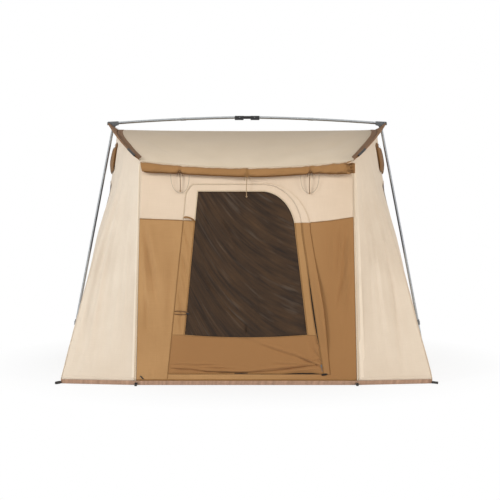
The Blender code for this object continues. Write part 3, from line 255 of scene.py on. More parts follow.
SIDE_FOLDS = {
    -1: ((0.70, 0.10, 0.715, 0.98, 0.018, -0.016), (0.722, 0.28, 0.735, 0.85, 0.008, -0.008),
         (0.735, 0.15, 0.755, 0.9, 0.014, 0.010),
         (0.955, 0.10, 0.965, 0.95, 0.010, -0.005),
         (0.775, 0.20, 0.790, 0.98, 0.010, -0.007), (0.925, 0.30, 0.945, 0.98, 0.012, -0.006),
         (0.80, 0.05, 0.83, 0.95, 0.020, -0.010), (0.90, 0.08, 0.93, 0.8, 0.018, 0.008),
         (0.86, 0.10, 0.87, 0.9, 0.012, 0.006),
         (0.60, 0.12, 0.58, 0.95, 0.030, 0.007), (0.42, 0.62, 0.46, 1.0, 0.035, -0.008),
         (-0.12, 0.60, -0.20, 1.0, 0.040, 0.006), (0.20, 0.62, 0.17, 1.0, 0.035, -0.006)),
    1: ((0.735, 0.30, 0.775, 1.0, 0.016, -0.014), (0.70, 0.12, 0.745, 0.60, 0.018, 0.010),
        (0.81, 0.10, 0.83, 0.85, 0.014, 0.007), (0.87, 0.05, 0.90, 0.80, 0.016, -0.008),
        (0.84, 0.30, 0.85, 0.95, 0.010, -0.005),
        (0.60, 0.12, 0.57, 0.95, 0.030, 0.008), (0.44, 0.62, 0.40, 1.0, 0.035, -0.008),
        (0.05, 0.60, 0.10, 1.0, 0.040, 0.006), (-0.25, 0.62, -0.20, 1.0, 0.035, -0.006)),
}


def puckers(t, spacing, height, off, rise, fall):
    """Gathers along a sewn edge, spacing metres apart, that rise and then fade with the distance off it."""
    return height * np.sin(2 * math.pi * EAVE_DEPTH * t / spacing) * ease(*rise, off) * (1 - ease(*fall, off))


def side_surface(t, down, side, lift=0.0):
    """The side of the tent, swelling a little, with upright folds, and puckers under the sleeve."""
    t, down = np.broadcast_arrays(np.asarray(t, float), np.asarray(down, float))
    top, foot = canvas_edge(t, side), floor_edge(t, side)
    point = top + (foot - top) * down[..., None]
    slack = np.minimum(1, 2 * (1 - np.abs(t)))
    fold = np.sin(7 * math.pi * (np.abs(t) - CORNER_SHARE)) * np.sin(math.pi * down)
    swell = SIDE_SWELL * hump(down) * ease(0.12, 0.50, down) - TOP_DRAW * bell(down, DRAW_MIDDLE, DRAW_WIDTH)
    point[..., 0] += side * slack * (swell + FOLD_DEPTH * fold)
    free = ease(0, 0.06, down) * ease(0, 0.04, 1 - down) * ease(0, 0.05, 1 - np.abs(t))
    across, height = SIDE_RUN * t, SIDE_FALL * down
    relief = 1.5 * (folds(t, down, SIDE_FOLDS[side]) + folds(-t, down, SIDE_FOLDS[-side]))
    relief = relief + ripple(across, height, 0.55, 0.007, 11 + side) + ripple(across, height, 0.16, 0.0016, 31)
    pucker = puckers(t, 0.046, 0.0022, down, (0.005, 0.02), (0.03, 0.16))
    return point + (free * relief + pucker + lift)[..., None] * side_out(t, side)


def eave_height(x):
    return EAVE_HEIGHT - EAVE_SAG * (1 - (x / WALL_TOP_HALF) ** 2)


ROOF_FOLDS = (
    (0.05, 0.10, 0.20, 0.80, 0.030, -0.007), (0.10, 0.05, 0.32, 0.55, 0.030, 0.006),
    (0.95, 0.10, 0.80, 0.80, 0.030, -0.007), (0.90, 0.05, 0.68, 0.55, 0.030, 0.006),
    (0.45, 0.15, 0.43, 0.95, 0.045, 0.005), (0.60, 0.10, 0.62, 0.90, 0.040, -0.005),
)


def roof_surface(across, t, lift=0.0):
    """The roof over the ridge, from one canvas edge to the other, sagging at its middle."""
    across, t = np.broadcast_arrays(np.asarray(across, float), np.asarray(t, float))
    down = np.abs(t)
    left, right = canvas_edge(t, -1), canvas_edge(t, 1)
    point = left + (right - left) * across[..., None]
    sag = hump(across) * (mix(RIDGE_SAG, EAVE_SAG, down) + ROOF_BILLOW * hump(down))
    free = ease(0, 0.05, across) * ease(0, 0.05, 1 - across) * ease(0, 0.06, 1 - down) * ease(0, 0.08, down)
    relief = folds(across, down, ROOF_FOLDS) + ripple(ROOF_SPAN * across, ROOF_RUN * t, 0.5, 0.006, 5)
    pucker = puckers(t, 0.052, 0.002, np.minimum(across, 1 - across), (0, 0.01), (0.015, 0.07))
    point[..., 2] += free * relief + pucker + lift - sag
    return point


def wall_side(height):
    """Half the wall's width at a height."""
    return mix(WALL_FOOT_HALF, WALL_TOP_HALF, (height - LIP_HEIGHT) / (EAVE_HEIGHT - LIP_HEIGHT))


def wall_point(x, z, lift=0.0, end=1):
    """Points on the front wall's plane (end 1) or the rear wall's (end -1)."""
    y = -FRONT_FOOT + (z - LIP_HEIGHT) * math.tan(WALL_TILT) - lift * math.cos(WALL_TILT)
    return stack(end * x, end * y, z + lift * math.sin(WALL_TILT))


WALL_OUT = {end: np.array((0, -end * math.cos(WALL_TILT), math.sin(WALL_TILT))) for end in (1, -1)}

FRONT_FOLDS = (
    # Left tan panel, hanging from the band
    (-0.845, 1.30, -0.735, 0.66, 0.020, -0.014), (-0.875, 1.20, -0.79, 0.60, 0.016, 0.008),
    (-0.800, 1.32, -0.70, 0.80, 0.030, 0.008), (-0.823, 0.76, -0.812, 0.42, 0.016, -0.008),
    (-0.70, 1.25, -0.66, 0.30, 0.040, 0.005), (-0.60, 1.15, -0.640, 0.35, 0.030, -0.005),
    # Between the hinge and the door's mesh
    (-0.52, 1.31, -0.452, 1.04, 0.010, -0.007), (-0.485, 1.33, -0.425, 1.12, 0.010, 0.005),
    (-0.545, 1.12, -0.475, 0.84, 0.010, -0.007), (-0.50, 1.10, -0.455, 0.90, 0.010, 0.005),
    (-0.555, 0.98, -0.505, 0.72, 0.010, 0.006), (-0.57, 0.82, -0.515, 0.52, 0.010, -0.007),
    (-0.58, 0.60, -0.545, 0.41, 0.010, 0.005), (-0.545, 0.64, -0.525, 0.42, 0.010, -0.005),
    (-0.43, 1.62, -0.405, 1.45, 0.012, -0.002), (-0.50, 1.50, -0.44, 1.38, 0.010, -0.0018),
    # Right tan panel
    (0.774, 1.31, 0.742, 0.84, 0.013, -0.008), (0.827, 1.30, 0.770, 0.84, 0.013, -0.009),
    (0.851, 1.24, 0.815, 0.86, 0.012, 0.008), (0.825, 1.05, 0.742, 0.60, 0.014, -0.011),
    (0.860, 1.00, 0.790, 0.52, 0.012, 0.007), (0.705, 1.28, 0.700, 0.90, 0.016, 0.004),
    (0.665, 1.30, 0.668, 0.95, 0.014, -0.002), (0.80, 0.55, 0.77, 0.15, 0.030, 0.003),
    # Door below the mesh
    (0.06, 0.365, 0.408, 0.243, 0.011, 0.010), (0.10, 0.325, 0.420, 0.220, 0.012, -0.008),
    (0.33, 0.285, 0.600, 0.160, 0.010, 0.010), (0.37, 0.245, 0.615, 0.145, 0.009, -0.010),
    (0.45, 0.235, 0.62, 0.150, 0.008, 0.008), (0.20, 0.190, 0.60, 0.165, 0.010, 0.008),
    (0.50, 0.36, 0.60, 0.17, 0.014, -0.008), (-0.05, 0.390, 0.22, 0.345, 0.009, 0.005),
    (0.550, 0.400, 0.590, 0.300, 0.006, -0.008), (0.585, 0.335, 0.560, 0.235, 0.006, 0.008),
    (0.545, 0.290, 0.600, 0.200, 0.005, -0.008), (0.560, 0.235, 0.612, 0.175, 0.005, 0.007),
    (0.530, 0.215, 0.605, 0.120, 0.006, -0.009), (0.500, 0.200, 0.600, 0.215, 0.005, 0.006),
    (0.580, 0.140, 0.622, 0.105, 0.005, 0.007),
    (-0.62, 0.162, -0.45, 0.170, 0.007, -0.004), (-0.50, 0.152, -0.24, 0.164, 0.007, -0.004),
    (-0.60, 0.146, -0.30, 0.137, 0.008, 0.005), (-0.30, 0.148, 0.10, 0.128, 0.009, 0.004),
    (-0.62, 0.134, -0.46, 0.121, 0.006, -0.014), (-0.50, 0.126, -0.27, 0.104, 0.006, -0.015),
    (-0.36, 0.108, 0.02, 0.098, 0.006, -0.014), (-0.10, 0.098, 0.24, 0.112, 0.006, -0.014),
    (0.18, 0.108, 0.48, 0.148, 0.007, -0.016), (0.40, 0.140, 0.60, 0.162, 0.006, -0.012),
    (-0.40, 0.122, 0.05, 0.112, 0.008, 0.010), (0.05, 0.126, 0.45, 0.163, 0.010, 0.010),
    (0.30, 0.112, 0.58, 0.134, 0.009, 0.010), (-0.62, 0.112, -0.35, 0.106, 0.007, 0.008),
    (-0.62, 0.178, -0.20, 0.172, 0.008, 0.006), (-0.45, 0.140, -0.10, 0.134, 0.006, -0.008),
    # Foot of the wall
    (-0.78, 0.14, -0.77, 0.04, 0.008, -0.003), (-0.64, 0.06, -0.20, 0.058, 0.009, 0.004),
    (-0.30, 0.062, 0.20, 0.066, 0.008, -0.004), (0.05, 0.058, 0.62, 0.066, 0.010, 0.004),
)


REAR_FOLDS = (
    (-0.80, 1.30, -0.70, 0.45, 0.022, -0.007), (0.82, 1.30, 0.72, 0.5, 0.022, -0.007),
    (-0.55, 0.85, -0.30, 0.15, 0.030, 0.006), (0.5, 0.9, 0.25, 0.2, 0.030, 0.006),
    (0.0, 0.9, 0.03, 0.15, 0.035, -0.005), (0.66, 1.2, 0.6, 0.4, 0.018, 0.005),
)


def wall_slack(x, z, foot):
    """0 where the wall's cloth is held, at its sides, its eave and its foot, and 1 where it is free."""
    free = ease(0.004, 0.05, wall_side(z) - np.abs(x)) * ease(0, foot, z - WALL_BOTTOM)
    return free * ease(0, 0.05, eave_height(x) - z)


def front_relief(x, z):
    """How far the front wall's cloth stands out. It is taut along the door's hinge too."""
    hinged = np.where(z < HINGE_CORNER_HEIGHT, ease(-0.001, 0.022, np.abs(x - hinge_x(z))), 1)
    free = wall_slack(x, z, 0.02) * hinged
    sharp = 1 + 0.6 * ease(0.38, 0.5, z)
    return free * (sharp * folds(x, z, FRONT_FOLDS) + ripple(x, z, 0.42, 0.005, 3) + ripple(x, z, 0.11, 0.0012, 8))


def front(x, z, lift=0.0):
    return wall_point(x, z, front_relief(x, z) + lift)


def rear(x, z, lift=0.0):
    uneven = ripple(x, z, 0.4, 0.005, 21) + ripple(x, z, 0.12, 0.0012, 22)
    return wall_point(x, z, wall_slack(x, z, 0.03) * (folds(x, z, REAR_FOLDS) + uneven) + lift, -1)


PULL_SLOPE = 2.1

SCREEN_FOLDS = (
    (-0.245, 1.42, -0.085, 1.10, 0.012, 0.009), (-0.215, 1.40, -0.06, 1.08, 0.012, -0.007),
    (-0.20, 1.22, -0.03, 0.96, 0.010, 0.007), (-0.33, 1.45, -0.30, 1.20, 0.010, -0.007),
    (-0.36, 1.50, -0.35, 1.15, 0.009, 0.006), (-0.30, 1.50, -0.20, 1.30, 0.009, 0.005),
    (-0.42, 1.24, -0.30, 0.92, 0.010, 0.008), (-0.40, 1.10, -0.26, 0.88, 0.009, -0.007),
    (-0.43, 1.06, -0.22, 0.80, 0.009, 0.007), (-0.44, 0.98, -0.20, 0.70, 0.011, -0.008),
    (-0.45, 0.92, 0.00, 0.43, 0.014, 0.010), (-0.42, 0.86, 0.06, 0.42, 0.011, -0.008),
    (-0.36, 0.95, 0.03, 0.52, 0.012, 0.007), (-0.46, 0.76, -0.10, 0.42, 0.010, 0.006),
    (-0.47, 0.68, -0.22, 0.42, 0.009, -0.006), (-0.48, 0.58, -0.34, 0.42, 0.008, 0.005),
    (-0.20, 0.86, 0.14, 0.66, 0.010, 0.004), (-0.16, 0.98, 0.20, 0.80, 0.010, 0.004),
    (-0.32, 1.34, -0.10, 0.92, 0.009, -0.006), (-0.05, 1.20, 0.25, 1.02, 0.012, 0.0035),
    (-0.02, 1.10, 0.32, 0.92, 0.012, -0.0035), (0.05, 1.02, 0.36, 0.82, 0.012, 0.003),
    (0.02, 0.70, 0.10, 0.52, 0.009, 0.005), (0.10, 0.72, 0.08, 0.50, 0.009, -0.005),
    (-0.004, 0.50, -0.004, 0.41, 0.007, -0.012), (0.10, 0.60, 0.36, 0.54, 0.010, 0.004),
    (-0.39, 1.56, 0.0, 1.50, 0.010, 0.004), (0.0, 1.545, 0.26, 1.50, 0.010, -0.004),
    (0.05, 1.47, 0.32, 1.32, 0.012, 0.003), (0.14, 0.88, 0.42, 0.74, 0.011, 0.004),
)


def pull_place(x, z):
    """How far across its pull lines a point of the mesh is. They fall steeply at the left, less to the right."""
    return z - 0.5 * PULL_SLOPE * np.exp(-(x + 0.45) / 0.5)


def screen(x, z, lift=0.0):
    """The door's mesh: slack and wrinkled along its pull lines, fuller than the canvas round it."""
    inset = np.minimum(np.minimum(x - mesh_left(z), mesh_right(z) - x), np.minimum(z - mesh_sill(x), MESH_TOP - z))
    free = ease(-0.004, 0.03, inset)
    pull = pull_place(x, z)
    relief = 1.6 * folds(x, z, SCREEN_FOLDS) + ripple(x, z, 0.30, 0.010, 41)
    relief = relief + ripple(pull, 0.12 * x, 0.075, 0.0045, 42) + creases(pull, 0.16 * x, 0.12, 0.0045, 43)
    relief = relief + creases(pull + 0.2 * x, 0.25 * x, 0.20, 0.006, 44)
    relief = relief + creases(x - 0.4 * z, 0.8 * z, 0.30, 0.0025, 45)
    return wall_point(x, z, (1 - free) * front_relief(x, z) + free * relief + lift)


# Lines of the door

def hinge_x(height):
    return HINGE_FOOT + (height - DOOR_SILL) * HINGE_SLANT


def arch_x(height, knee, width, top):
    """The right side of an arch above its knee."""
    share = np.clip((height - ZIP_KNEE_HEIGHT) / (top - ZIP_KNEE_HEIGHT), 0, 1)
    return knee - width * (1 - np.sqrt(1 - share ** 2))


def zip_x(height):
    below = mix(ZIP_FOOT, ZIP_KNEE, (height - DOOR_SILL) / (ZIP_KNEE_HEIGHT - DOOR_SILL))
    return np.where(height > ZIP_KNEE_HEIGHT, arch_x(height, ZIP_KNEE, ZIP_ARC_WIDTH, DOOR_TOP), below)


def mesh_left(height):
    return mix(MESH_FOOT_LEFT, MESH_TOP_LEFT, (height - MESH_SILL) / (MESH_TOP - MESH_SILL))


def mesh_right(height):
    below = mix(MESH_FOOT_RIGHT, MESH_KNEE, (height - MESH_SILL) / (ZIP_KNEE_HEIGHT - MESH_SILL))
    return np.where(height > ZIP_KNEE_HEIGHT, arch_x(height, MESH_KNEE, MESH_ARC_WIDTH, MESH_TOP), below)


def mesh_sill(x):
    return MESH_SILL - MESH_SAG * hump(np.clip((x - MESH_FOOT_LEFT) / (MESH_FOOT_RIGHT - MESH_FOOT_LEFT), 0, 1))


def band_line(x):
    """The height where the cream cloth is sewn to the tan."""
    return np.interp(x, BAND_X, BAND_Z)


def band_at(side_line):
    """The band's height where it meets a nearly upright line."""
    height = 1.33
    for _ in range(6):
        height = float(band_line(side_line(height)))
    return height


HINGE_BAND, ZIP_BAND = band_at(hinge_x), band_at(zip_x)
SCREEN_LEFT_BAND, SCREEN_RIGHT_BAND = band_at(mesh_left), band_at(mesh_right)


def arch_line(low, knee, width, top, end_x):
    """From a place on the top, over the arch and down its right side to a low point."""
    arc = quarter((knee - width, ZIP_KNEE_HEIGHT), width, top - ZIP_KNEE_HEIGHT, 90, 0, 28)
    return np.vstack((arc[arc[:, 1] > low + 0.002], [(end_x(low), low)]))


def doorway_line(low_left, low_right):
    """The door's edge from the hinge side, over the top, down the zip side."""
    corner_x = hinge_x(HINGE_CORNER_HEIGHT)
    corner = quarter((corner_x + HINGE_CORNER_WIDTH, HINGE_CORNER_HEIGHT), HINGE_CORNER_WIDTH,
                     DOOR_TOP - HINGE_CORNER_HEIGHT, 180, 90, 9)
    arch = arch_line(low_right, ZIP_KNEE, ZIP_ARC_WIDTH, DOOR_TOP, zip_x)
    return np.vstack(([(hinge_x(low_left), low_left)], corner, arch))


def mesh_line(low_left, low_right):
    """The door window's edge from the left side, over the top, down the right side."""
    arch = arch_line(low_right, MESH_KNEE, MESH_ARC_WIDTH, MESH_TOP, mesh_right)
    return np.vstack(([(mesh_left(low_left), low_left), (MESH_TOP_LEFT, MESH_TOP)], arch))


def zip_gap(height):
    """How far the slack zip gapes open, most at a third of the way up."""
    return 0.0006 + 0.011 * ease(0.28, 0.50, height) * (1 - ease(0.62, 1.02, height))


def sill_gap(x):
    """How far the door's foot stands off the sill, next to the zip."""
    return 0.0006 + 0.0085 * ease(0.26, 0.44, x) * (1 - ease(0.53, 0.60, x)) + 0.0022 * ease(-0.3, 0.0, x)


# Colour and materials

def linear(code):
    """An sRGB hex colour as linear RGBA."""
    channels = (int(code[i:i + 2], 16) / 255 for i in (1, 3, 5))
    return (*(c / 12.92 if c <= 0.04045 else ((c + 0.055) / 1.055) ** 2.4 for c in channels), 1.0)


def add_node(tree, kind, links=(), **settings):
    """Adds a shader node. links gives its sockets values, or joins them to a socket or a node's first output."""
    node = tree.nodes.new("ShaderNode" + kind)
    for name, value in settings.items():
        setattr(node, name, value)
    for socket, value in dict(links).items():
        if isinstance(value, bpy.types.Node):
            value = value.outputs[0]
        if isinstance(value, bpy.types.NodeSocket):
            tree.links.new(value, node.inputs[socket])
        else:
            node.inputs[socket].default_value = value
    return node


def new_material(name, on_cloth, **shader_values):
    """A material with its shader's sockets set by name, and the places that it is drawn by: on the cut cloth,
    or else on the object."""
    material = bpy.data.materials.new(name)
    material.use_nodes = True
    tree = material.node_tree
    shader = tree.nodes["Principled BSDF"]
    for socket, value in shader_values.items():
        shader.inputs[socket.replace("_", " ")].default_value = value
    if on_cloth:
        return material, tree, shader, add_node(tree, "Attribute", attribute_name="cut").outputs["Vector"]
    return material, tree, shader, add_node(tree, "TexCoord").outputs["Object"]


def colour_surface(tree, shader, share, tones, relief=None, over=()):
    """Colours a surface between two tones by a share, with other colours over them by shares of their own.
    relief is a height with its strength and its distance."""
    colour = linear(tones[0])
    for part, tint in ((share, linear(tones[1])), *over):
        colour = add_node(tree, "Mix", {0: part, 6: colour, 7: tint}, data_type="RGBA").outputs[2]
    tree.links.new(colour, shader.inputs["Base Color"])
    if relief:
        bump = add_node(tree, "Bump", dict(zip(("Height", "Strength", "Distance"), relief)))
        tree.links.new(bump.outputs[0], shader.inputs["Normal"])


def streaks(tree, place, across, along, detail=2.0):
    """Noise drawn out into streaks of a width and length in metres."""
    scaled = add_node(tree, "Mapping", {"Vector": place, "Scale": (1 / across, 1 / along, 1)})
    return add_node(tree, "TexNoise", {"Vector": scaled, "Scale": 1.0, "Detail": detail})


def weave_height(tree, place, spacing):
    """Threads over and under, spacing metres to a wave, as a height from -1 to 1."""
    parts = add_node(tree, "SeparateXYZ", {0: place})
    waves = []
    for axis in (0, 1):
        turn = add_node(tree, "Math", {0: parts.outputs[axis], 1: 2 * math.pi / spacing}, operation="MULTIPLY")
        waves.append(add_node(tree, "Math", {0: turn}, operation="SINE"))
    return add_node(tree, "Math", {0: waves[0], 1: waves[1]}, operation="MULTIPLY")


def stitch_share(tree, place):
    """Two rows of lockstitch, 5 mm apart, 3.5 mm to a stitch, as dashes down a seam."""
    parts = add_node(tree, "SeparateXYZ", {0: place})
    off = add_node(tree, "Math", {0: parts.outputs[0]}, operation="ABSOLUTE")
    row = add_node(tree, "Math", {0: off, 1: 0.0026, 2: 0.0007}, operation="COMPARE")
    step = add_node(tree, "Math", {0: parts.outputs[1], 1: 0.0035}, operation="MODULO")
    dash = add_node(tree, "Math", {0: step, 1: 0.0025}, operation="LESS_THAN")
    return add_node(tree, "Math", {0: row, 1: dash}, operation="MULTIPLY")


def cotton_duck(name, dark, light, stitches=False, darker_tint=None):
    """Plain-woven cotton duck: matte and soft, with slubs both ways, a cloudy tone and a little sheen."""
    material, tree, shader, place = new_material(name, True, Roughness=0.88, Specular_IOR_Level=0.25,
                                                 Sheen_Weight=0.12, Sheen_Roughness=0.45)
    # Slubs are 1 mm wide in the cloth. They are drawn 5 mm wide, so that they show.
    warp, weft = streaks(tree, place, 0.005, 0.14), streaks(tree, place, 0.14, 0.005)
    cloud = streaks(tree, place, 0.35, 0.45, 4.0)
    yarn = add_node(tree, "Math", {0: warp, 1: weft}, operation="ADD")
    tone = add_node(tree, "Math", {0: yarn, 1: 0.35, 2: cloud}, operation="MULTIPLY_ADD")
    share = add_node(tree, "MapRange", {0: tone, 1: 0.55, 2: 1.15})
    over = []
    if darker_tint:
        # Darker or greyer cloth, from one place on the cut to another, by its x (0) or its distance along (1)
        tint, start, full, axis = darker_tint
        off = add_node(tree, "SeparateXYZ", {0: place}).outputs[axis]
        if axis == 1:
            off = add_node(tree, "Math", {0: off}, operation="ABSOLUTE")
        over.append((add_node(tree, "MapRange", {0: off, 1: start, 2: full}), linear(tint)))
    if stitches:
        thread = tuple(mix(a, b, 0.45) for a, b in zip(linear(dark), (0.05, 0.03, 0.02, 1)))
        over.append((stitch_share(tree, place), thread))
    # Threads are 0.8 mm apart in the cloth. They are drawn 2 mm to a wave.
    height = add_node(tree, "Math", {0: yarn, 1: 1.5, 2: weave_height(tree, place, 0.002)}, operation="MULTIPLY_ADD")
    colour_surface(tree, shader, share, (dark, light), (height, 0.35, 0.0005), over)
    return material


def show_pull(piece):
    """Keeps each point's place across and along the mesh's pull lines, for its streaks."""
    mesh = piece.data
    flat = np.empty(3 * len(mesh.vertices), np.float32)
    mesh.attributes["cut"].data.foreach_get("vector", flat)
    x, z = flat.reshape(-1, 3)[:, 0], flat.reshape(-1, 3)[:, 1]
    pull = mesh.attributes.new("pull", "FLOAT_VECTOR", "POINT")
    pull.data.foreach_set("vector", stack(pull_place(x, z), x, 0).astype(np.float32).ravel())
    return piece


def insect_screen():
    """Knitted polyester mesh: dark and slightly shiny, so that its wrinkles catch pale light, helped by painted
    highlights.
    """
    material, tree, shader, place = new_material("knitted_polyester_mesh", True, Roughness=0.44,
                                                 Specular_IOR_Level=0.28, Sheen_Weight=0.02, Sheen_Roughness=0.35)
    # The mesh has 1.2 mm holes. They are drawn 6 mm to a wave, so that they show close to.
    holes = weave_height(tree, place, 0.006)
    # Darker and paler streaks along the pull lines are painted light and shade of its wrinkles, and fine grey ones
    # are painted highlights.
    pull = add_node(tree, "Attribute", attribute_name="pull").outputs["Vector"]
    cloud = streaks(tree, pull, 0.026, 0.22, 4.0)
    cloud = add_node(tree, "Math", {0: cloud, 1: streaks(tree, pull, 0.11, 0.30, 3.0)}, operation="ADD")
    tone = add_node(tree, "Math", {0: holes, 1: 0.12, 2: cloud}, operation="MULTIPLY_ADD")
    share = add_node(tree, "MapRange", {0: tone, 1: 0.68, 2: 1.42})
    painted_highlight = add_node(tree, "MapRange", {0: streaks(tree, pull, 0.045, 0.24, 2.5), 1: 0.57, 2: 0.80, 3: 0.0, 4: 0.45})
    colour_surface(tree, shader, share, ("#1F1309", "#4B3520"), (holes, 0.4, 0.0006), [(painted_highlight, linear("#675A4E"))])
    return material


def coated_cloth():
    """Polyurethane-coated polyester: smoother than the canvas, with a satin sheen and scuffs."""
    material, tree, shader, place = new_material("coated_polyester_floor", True, Roughness=0.52, Coat_Weight=0.15,
                                                 Coat_Roughness=0.4)
    share = add_node(tree, "MapRange", {0: streaks(tree, place, 0.03, 0.25, 5.0), 1: 0.3, 2: 0.7})
    # A fine plain weave shows through the coat, 1 mm to a thread.
    colour_surface(tree, shader, share, ("#90705A", "#B8937A"), (weave_height(tree, place, 0.002), 0.3, 0.0003))
    return material


def woven_tape(name, dark, light, rib):
    """Flat-woven tape: raised ribs across it, rib metres apart, with a dull thread sheen."""
    material, tree, shader, place = new_material(name, True, Roughness=0.8, Sheen_Weight=0.04, Sheen_Roughness=0.3)
    ribs = weave_height(tree, place, rib)
    share = add_node(tree, "MapRange", {0: ribs, 1: -1.0, 2: 1.0})
    colour_surface(tree, shader, share, (dark, light), (ribs, 0.6, 0.0006))
    return material


def braided_cord(name, dark, light, strand):
    """Braided cord: strands that cross on a slant, strand metres wide."""
    material, tree, shader, place = new_material(name, False, Roughness=0.75, Sheen_Weight=0.15)
    braid = add_node(tree, "TexWave", {"Vector": place, "Scale": 0.3 / strand, "Distortion": 1.5, "Detail": 1.0},
                     bands_direction="DIAGONAL").outputs["Fac"]
    colour_surface(tree, shader, braid, (dark, light), (braid, 0.5, 0.0005))
    return material


def drawn_metal(name, dark, light, roughness, grain):
    """Metal: reflections blurred by its finish, with a mottle grain metres across in colour and shine."""
    material, tree, shader, place = new_material(name, False, Metallic=1.0)
    mottle = add_node(tree, "TexNoise", {"Vector": place, "Scale": 1 / grain, "Detail": 4.0})
    colour_surface(tree, shader, add_node(tree, "MapRange", {0: mottle, 1: 0.35, 2: 0.65}), (dark, light))
    rough = add_node(tree, "MapRange", {0: mottle, 3: roughness - 0.07, 4: roughness + 0.07})
    tree.links.new(rough.outputs[0], shader.inputs["Roughness"])
    return material


def moulded_nylon(name, dark, light):
    """Moulded nylon: dull, with the 1.2 mm grain of its mould."""
    material, tree, shader, place = new_material(name, False, Roughness=0.48)
    grain = add_node(tree, "TexNoise", {"Vector": place, "Scale": 1 / 0.0012, "Detail": 2.0})
    colour_surface(tree, shader, grain, (dark, light), (grain, 0.2, 0.0003))
    return material


CREAM = cotton_duck("cream_cotton_duck", "#D6BFA6", "#E1CBB3")
SIDE = cotton_duck("cream_cotton_duck_sides", "#D9C7B2", "#E4D4C0")
# The roof's cloth is drawn darker towards the ridge: painted shade.
ROOF = cotton_duck("cream_cotton_duck_roof", "#E8D2B4", "#F3DEC2", darker_tint=("#C2AE95", 1.35, 0.0, 1))
CREAM_SEAM = cotton_duck("cream_cotton_duck_seam", "#D2BA9B", "#DEC8AB", stitches=True)
TAN = cotton_duck("tan_cotton_duck", "#A57C50", "#B48A5C")
# The door's tan is darker below the seam at 0.40 m.
DOOR_TAN = cotton_duck("tan_cotton_duck_door", "#A57C50", "#B48A5C", darker_tint=("#9E7349", 0.404, 0.398, 1))
# The front's tan is drawn darker towards the right: painted shade, as if lit from the left.
FRONT_TAN = cotton_duck("tan_cotton_duck_front", "#A98054", "#B98F61", darker_tint=("#A0754A", 0.1, 0.68, 0))
# The side covers are drawn a darker brown than the rear cover's cloth: painted shade under the sleeves.
SHADED_COVER = cotton_duck("rolled_cotton_duck_covers_painted_shade", "#72522F", "#8E6842")
# A paler cream for a band beside each side's end seams, wider on the right.
PALE_BAND = cotton_duck("cream_cotton_duck_pale_band", "#E6D4BE", "#F0E0CC")
TAN_SEAM = cotton_duck("tan_cotton_duck_seam", "#8C653B", "#A0784A", stitches=True)
# A dark tan for the edges of the storm flap and of the rolled awning: painted shadow along them.
TAN_EDGE_SHADOW = cotton_duck("tan_cotton_duck_edge_painted_shadow", "#6A4520", "#7E5529")
ROLLED = cotton_duck("rolled_cotton_duck", "#987046", "#A87D50")
BROWN = cotton_duck("brown_cotton_duck", "#755131", "#936B45")
SCREEN = insect_screen()
GROUND = coated_cloth()
BLACK_TAPE = woven_tape("black_nylon_webbing", "#2A2828", "#454240", 0.003)
BROWN_TAPE = woven_tape("brown_cotton_tape", "#5A3D22", "#755231", 0.003)
ZIP_TAPE = woven_tape("black_zip_tape", "#120D0A", "#231A14", 0.0025)
TIE_CORD = braided_cord("brown_braided_cord", "#4F341B", "#755231", 0.002)
PALE_CORD = braided_cord("pale_braided_cord", "#86684A", "#B59A76", 0.002)
ELASTIC = braided_cord("grey_braided_elastic", "#857967", "#A89C88", 0.0015)
GALVANISED = drawn_metal("galvanised_steel_tube", "#9DA1A4", "#C2C5C7", 0.38, 0.012)
SPRING_STEEL = drawn_metal("blackened_spring_steel", "#211F1E", "#34312F", 0.46, 0.02)
CAST_ZINC = drawn_metal("cast_zinc", "#5E6061", "#848688", 0.45, 0.006)
NYLON = moulded_nylon("black_moulded_nylon", "#17171A", "#2A2A2B")
GREY_NYLON = moulded_nylon("grey_moulded_nylon", "#5C5E60", "#747678")


# Pieces

def new_object(name, data):
    obj = bpy.data.objects.new(name, data)
    bpy.context.scene.collection.objects.link(obj)
    return obj


def make_piece(name, points, faces, cut, material, thickness=0.0, closed=False):
    """A smooth mesh that keeps each point's place on the cut cloth, in metres, as an attribute."""
    mesh = bpy.data.meshes.new(name)
    mesh.from_pydata(np.asarray(points).tolist(), [], faces)
    flat = mesh.attributes.new("cut", "FLOAT_VECTOR", "POINT")
    flat.data.foreach_set("vector", np.column_stack((cut, np.zeros(len(cut)))).astype(np.float32).ravel())
    mesh.polygons.foreach_set("use_smooth", np.ones(len(mesh.polygons), bool))
    if closed:
        bm = bmesh.new()
        bm.from_mesh(mesh)
        bmesh.ops.recalc_face_normals(bm, faces=bm.faces)
        bm.to_mesh(mesh)
        bm.free()
    mesh.materials.append(material)
    obj = new_object(name, mesh)
    if thickness:
        solid = obj.modifiers.new("cloth", "SOLIDIFY")
        solid.thickness, solid.offset = thickness, 0
    return obj


def dress(obj, *nodes, body="canvas", slot=None):
    """Puts a piece on its body, in place of CAD nodes, which it hides. slot is not used."""
    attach(obj, body)
    if nodes:
        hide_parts(*nodes)
    return obj


def cut_sheet(name, outline, place, material, spacing=0.014, thickness=CANVAS, fine=None):
    """Cloth cut to an outline of (x, height) points, meshed evenly, or finer below a height, then placed."""
    border = spaced(outline, spacing, closed=True)
    edges = [(i, (i + 1) % len(border)) for i in range(len(border))]
    low, high = border.min(axis=0), border.max(axis=0)
    zones = [(low[1], high[1], spacing)]
    if fine:
        zones = [(low[1], fine[0], fine[1]), (fine[0], high[1], spacing)]
    grid = np.array([(x + step / 2 * (i % 2), z) for start, end, step in zones
                     for i, z in enumerate(np.arange(start, end, step * math.sqrt(0.75)))
                     for x in np.arange(low[0], high[0], step)])
    grid = grid[inside(grid, border)]
    near = np.array([np.min(np.sum((border - point) ** 2, axis=1)) for point in grid])
    grid = grid[near > (0.55 * spacing) ** 2]
    points = [Vector(point) for point in np.vstack((border, grid))]
    made, _, faces, *_ = delaunay_2d_cdt(points, edges, [], 1, 1e-6)
    flat, faces = np.array([tuple(point) for point in made]), np.array(faces)
    faces = faces[inside(flat[faces].mean(axis=1), border)]
    return make_piece(name, place(*flat.T), faces.tolist(), flat, material, thickness)


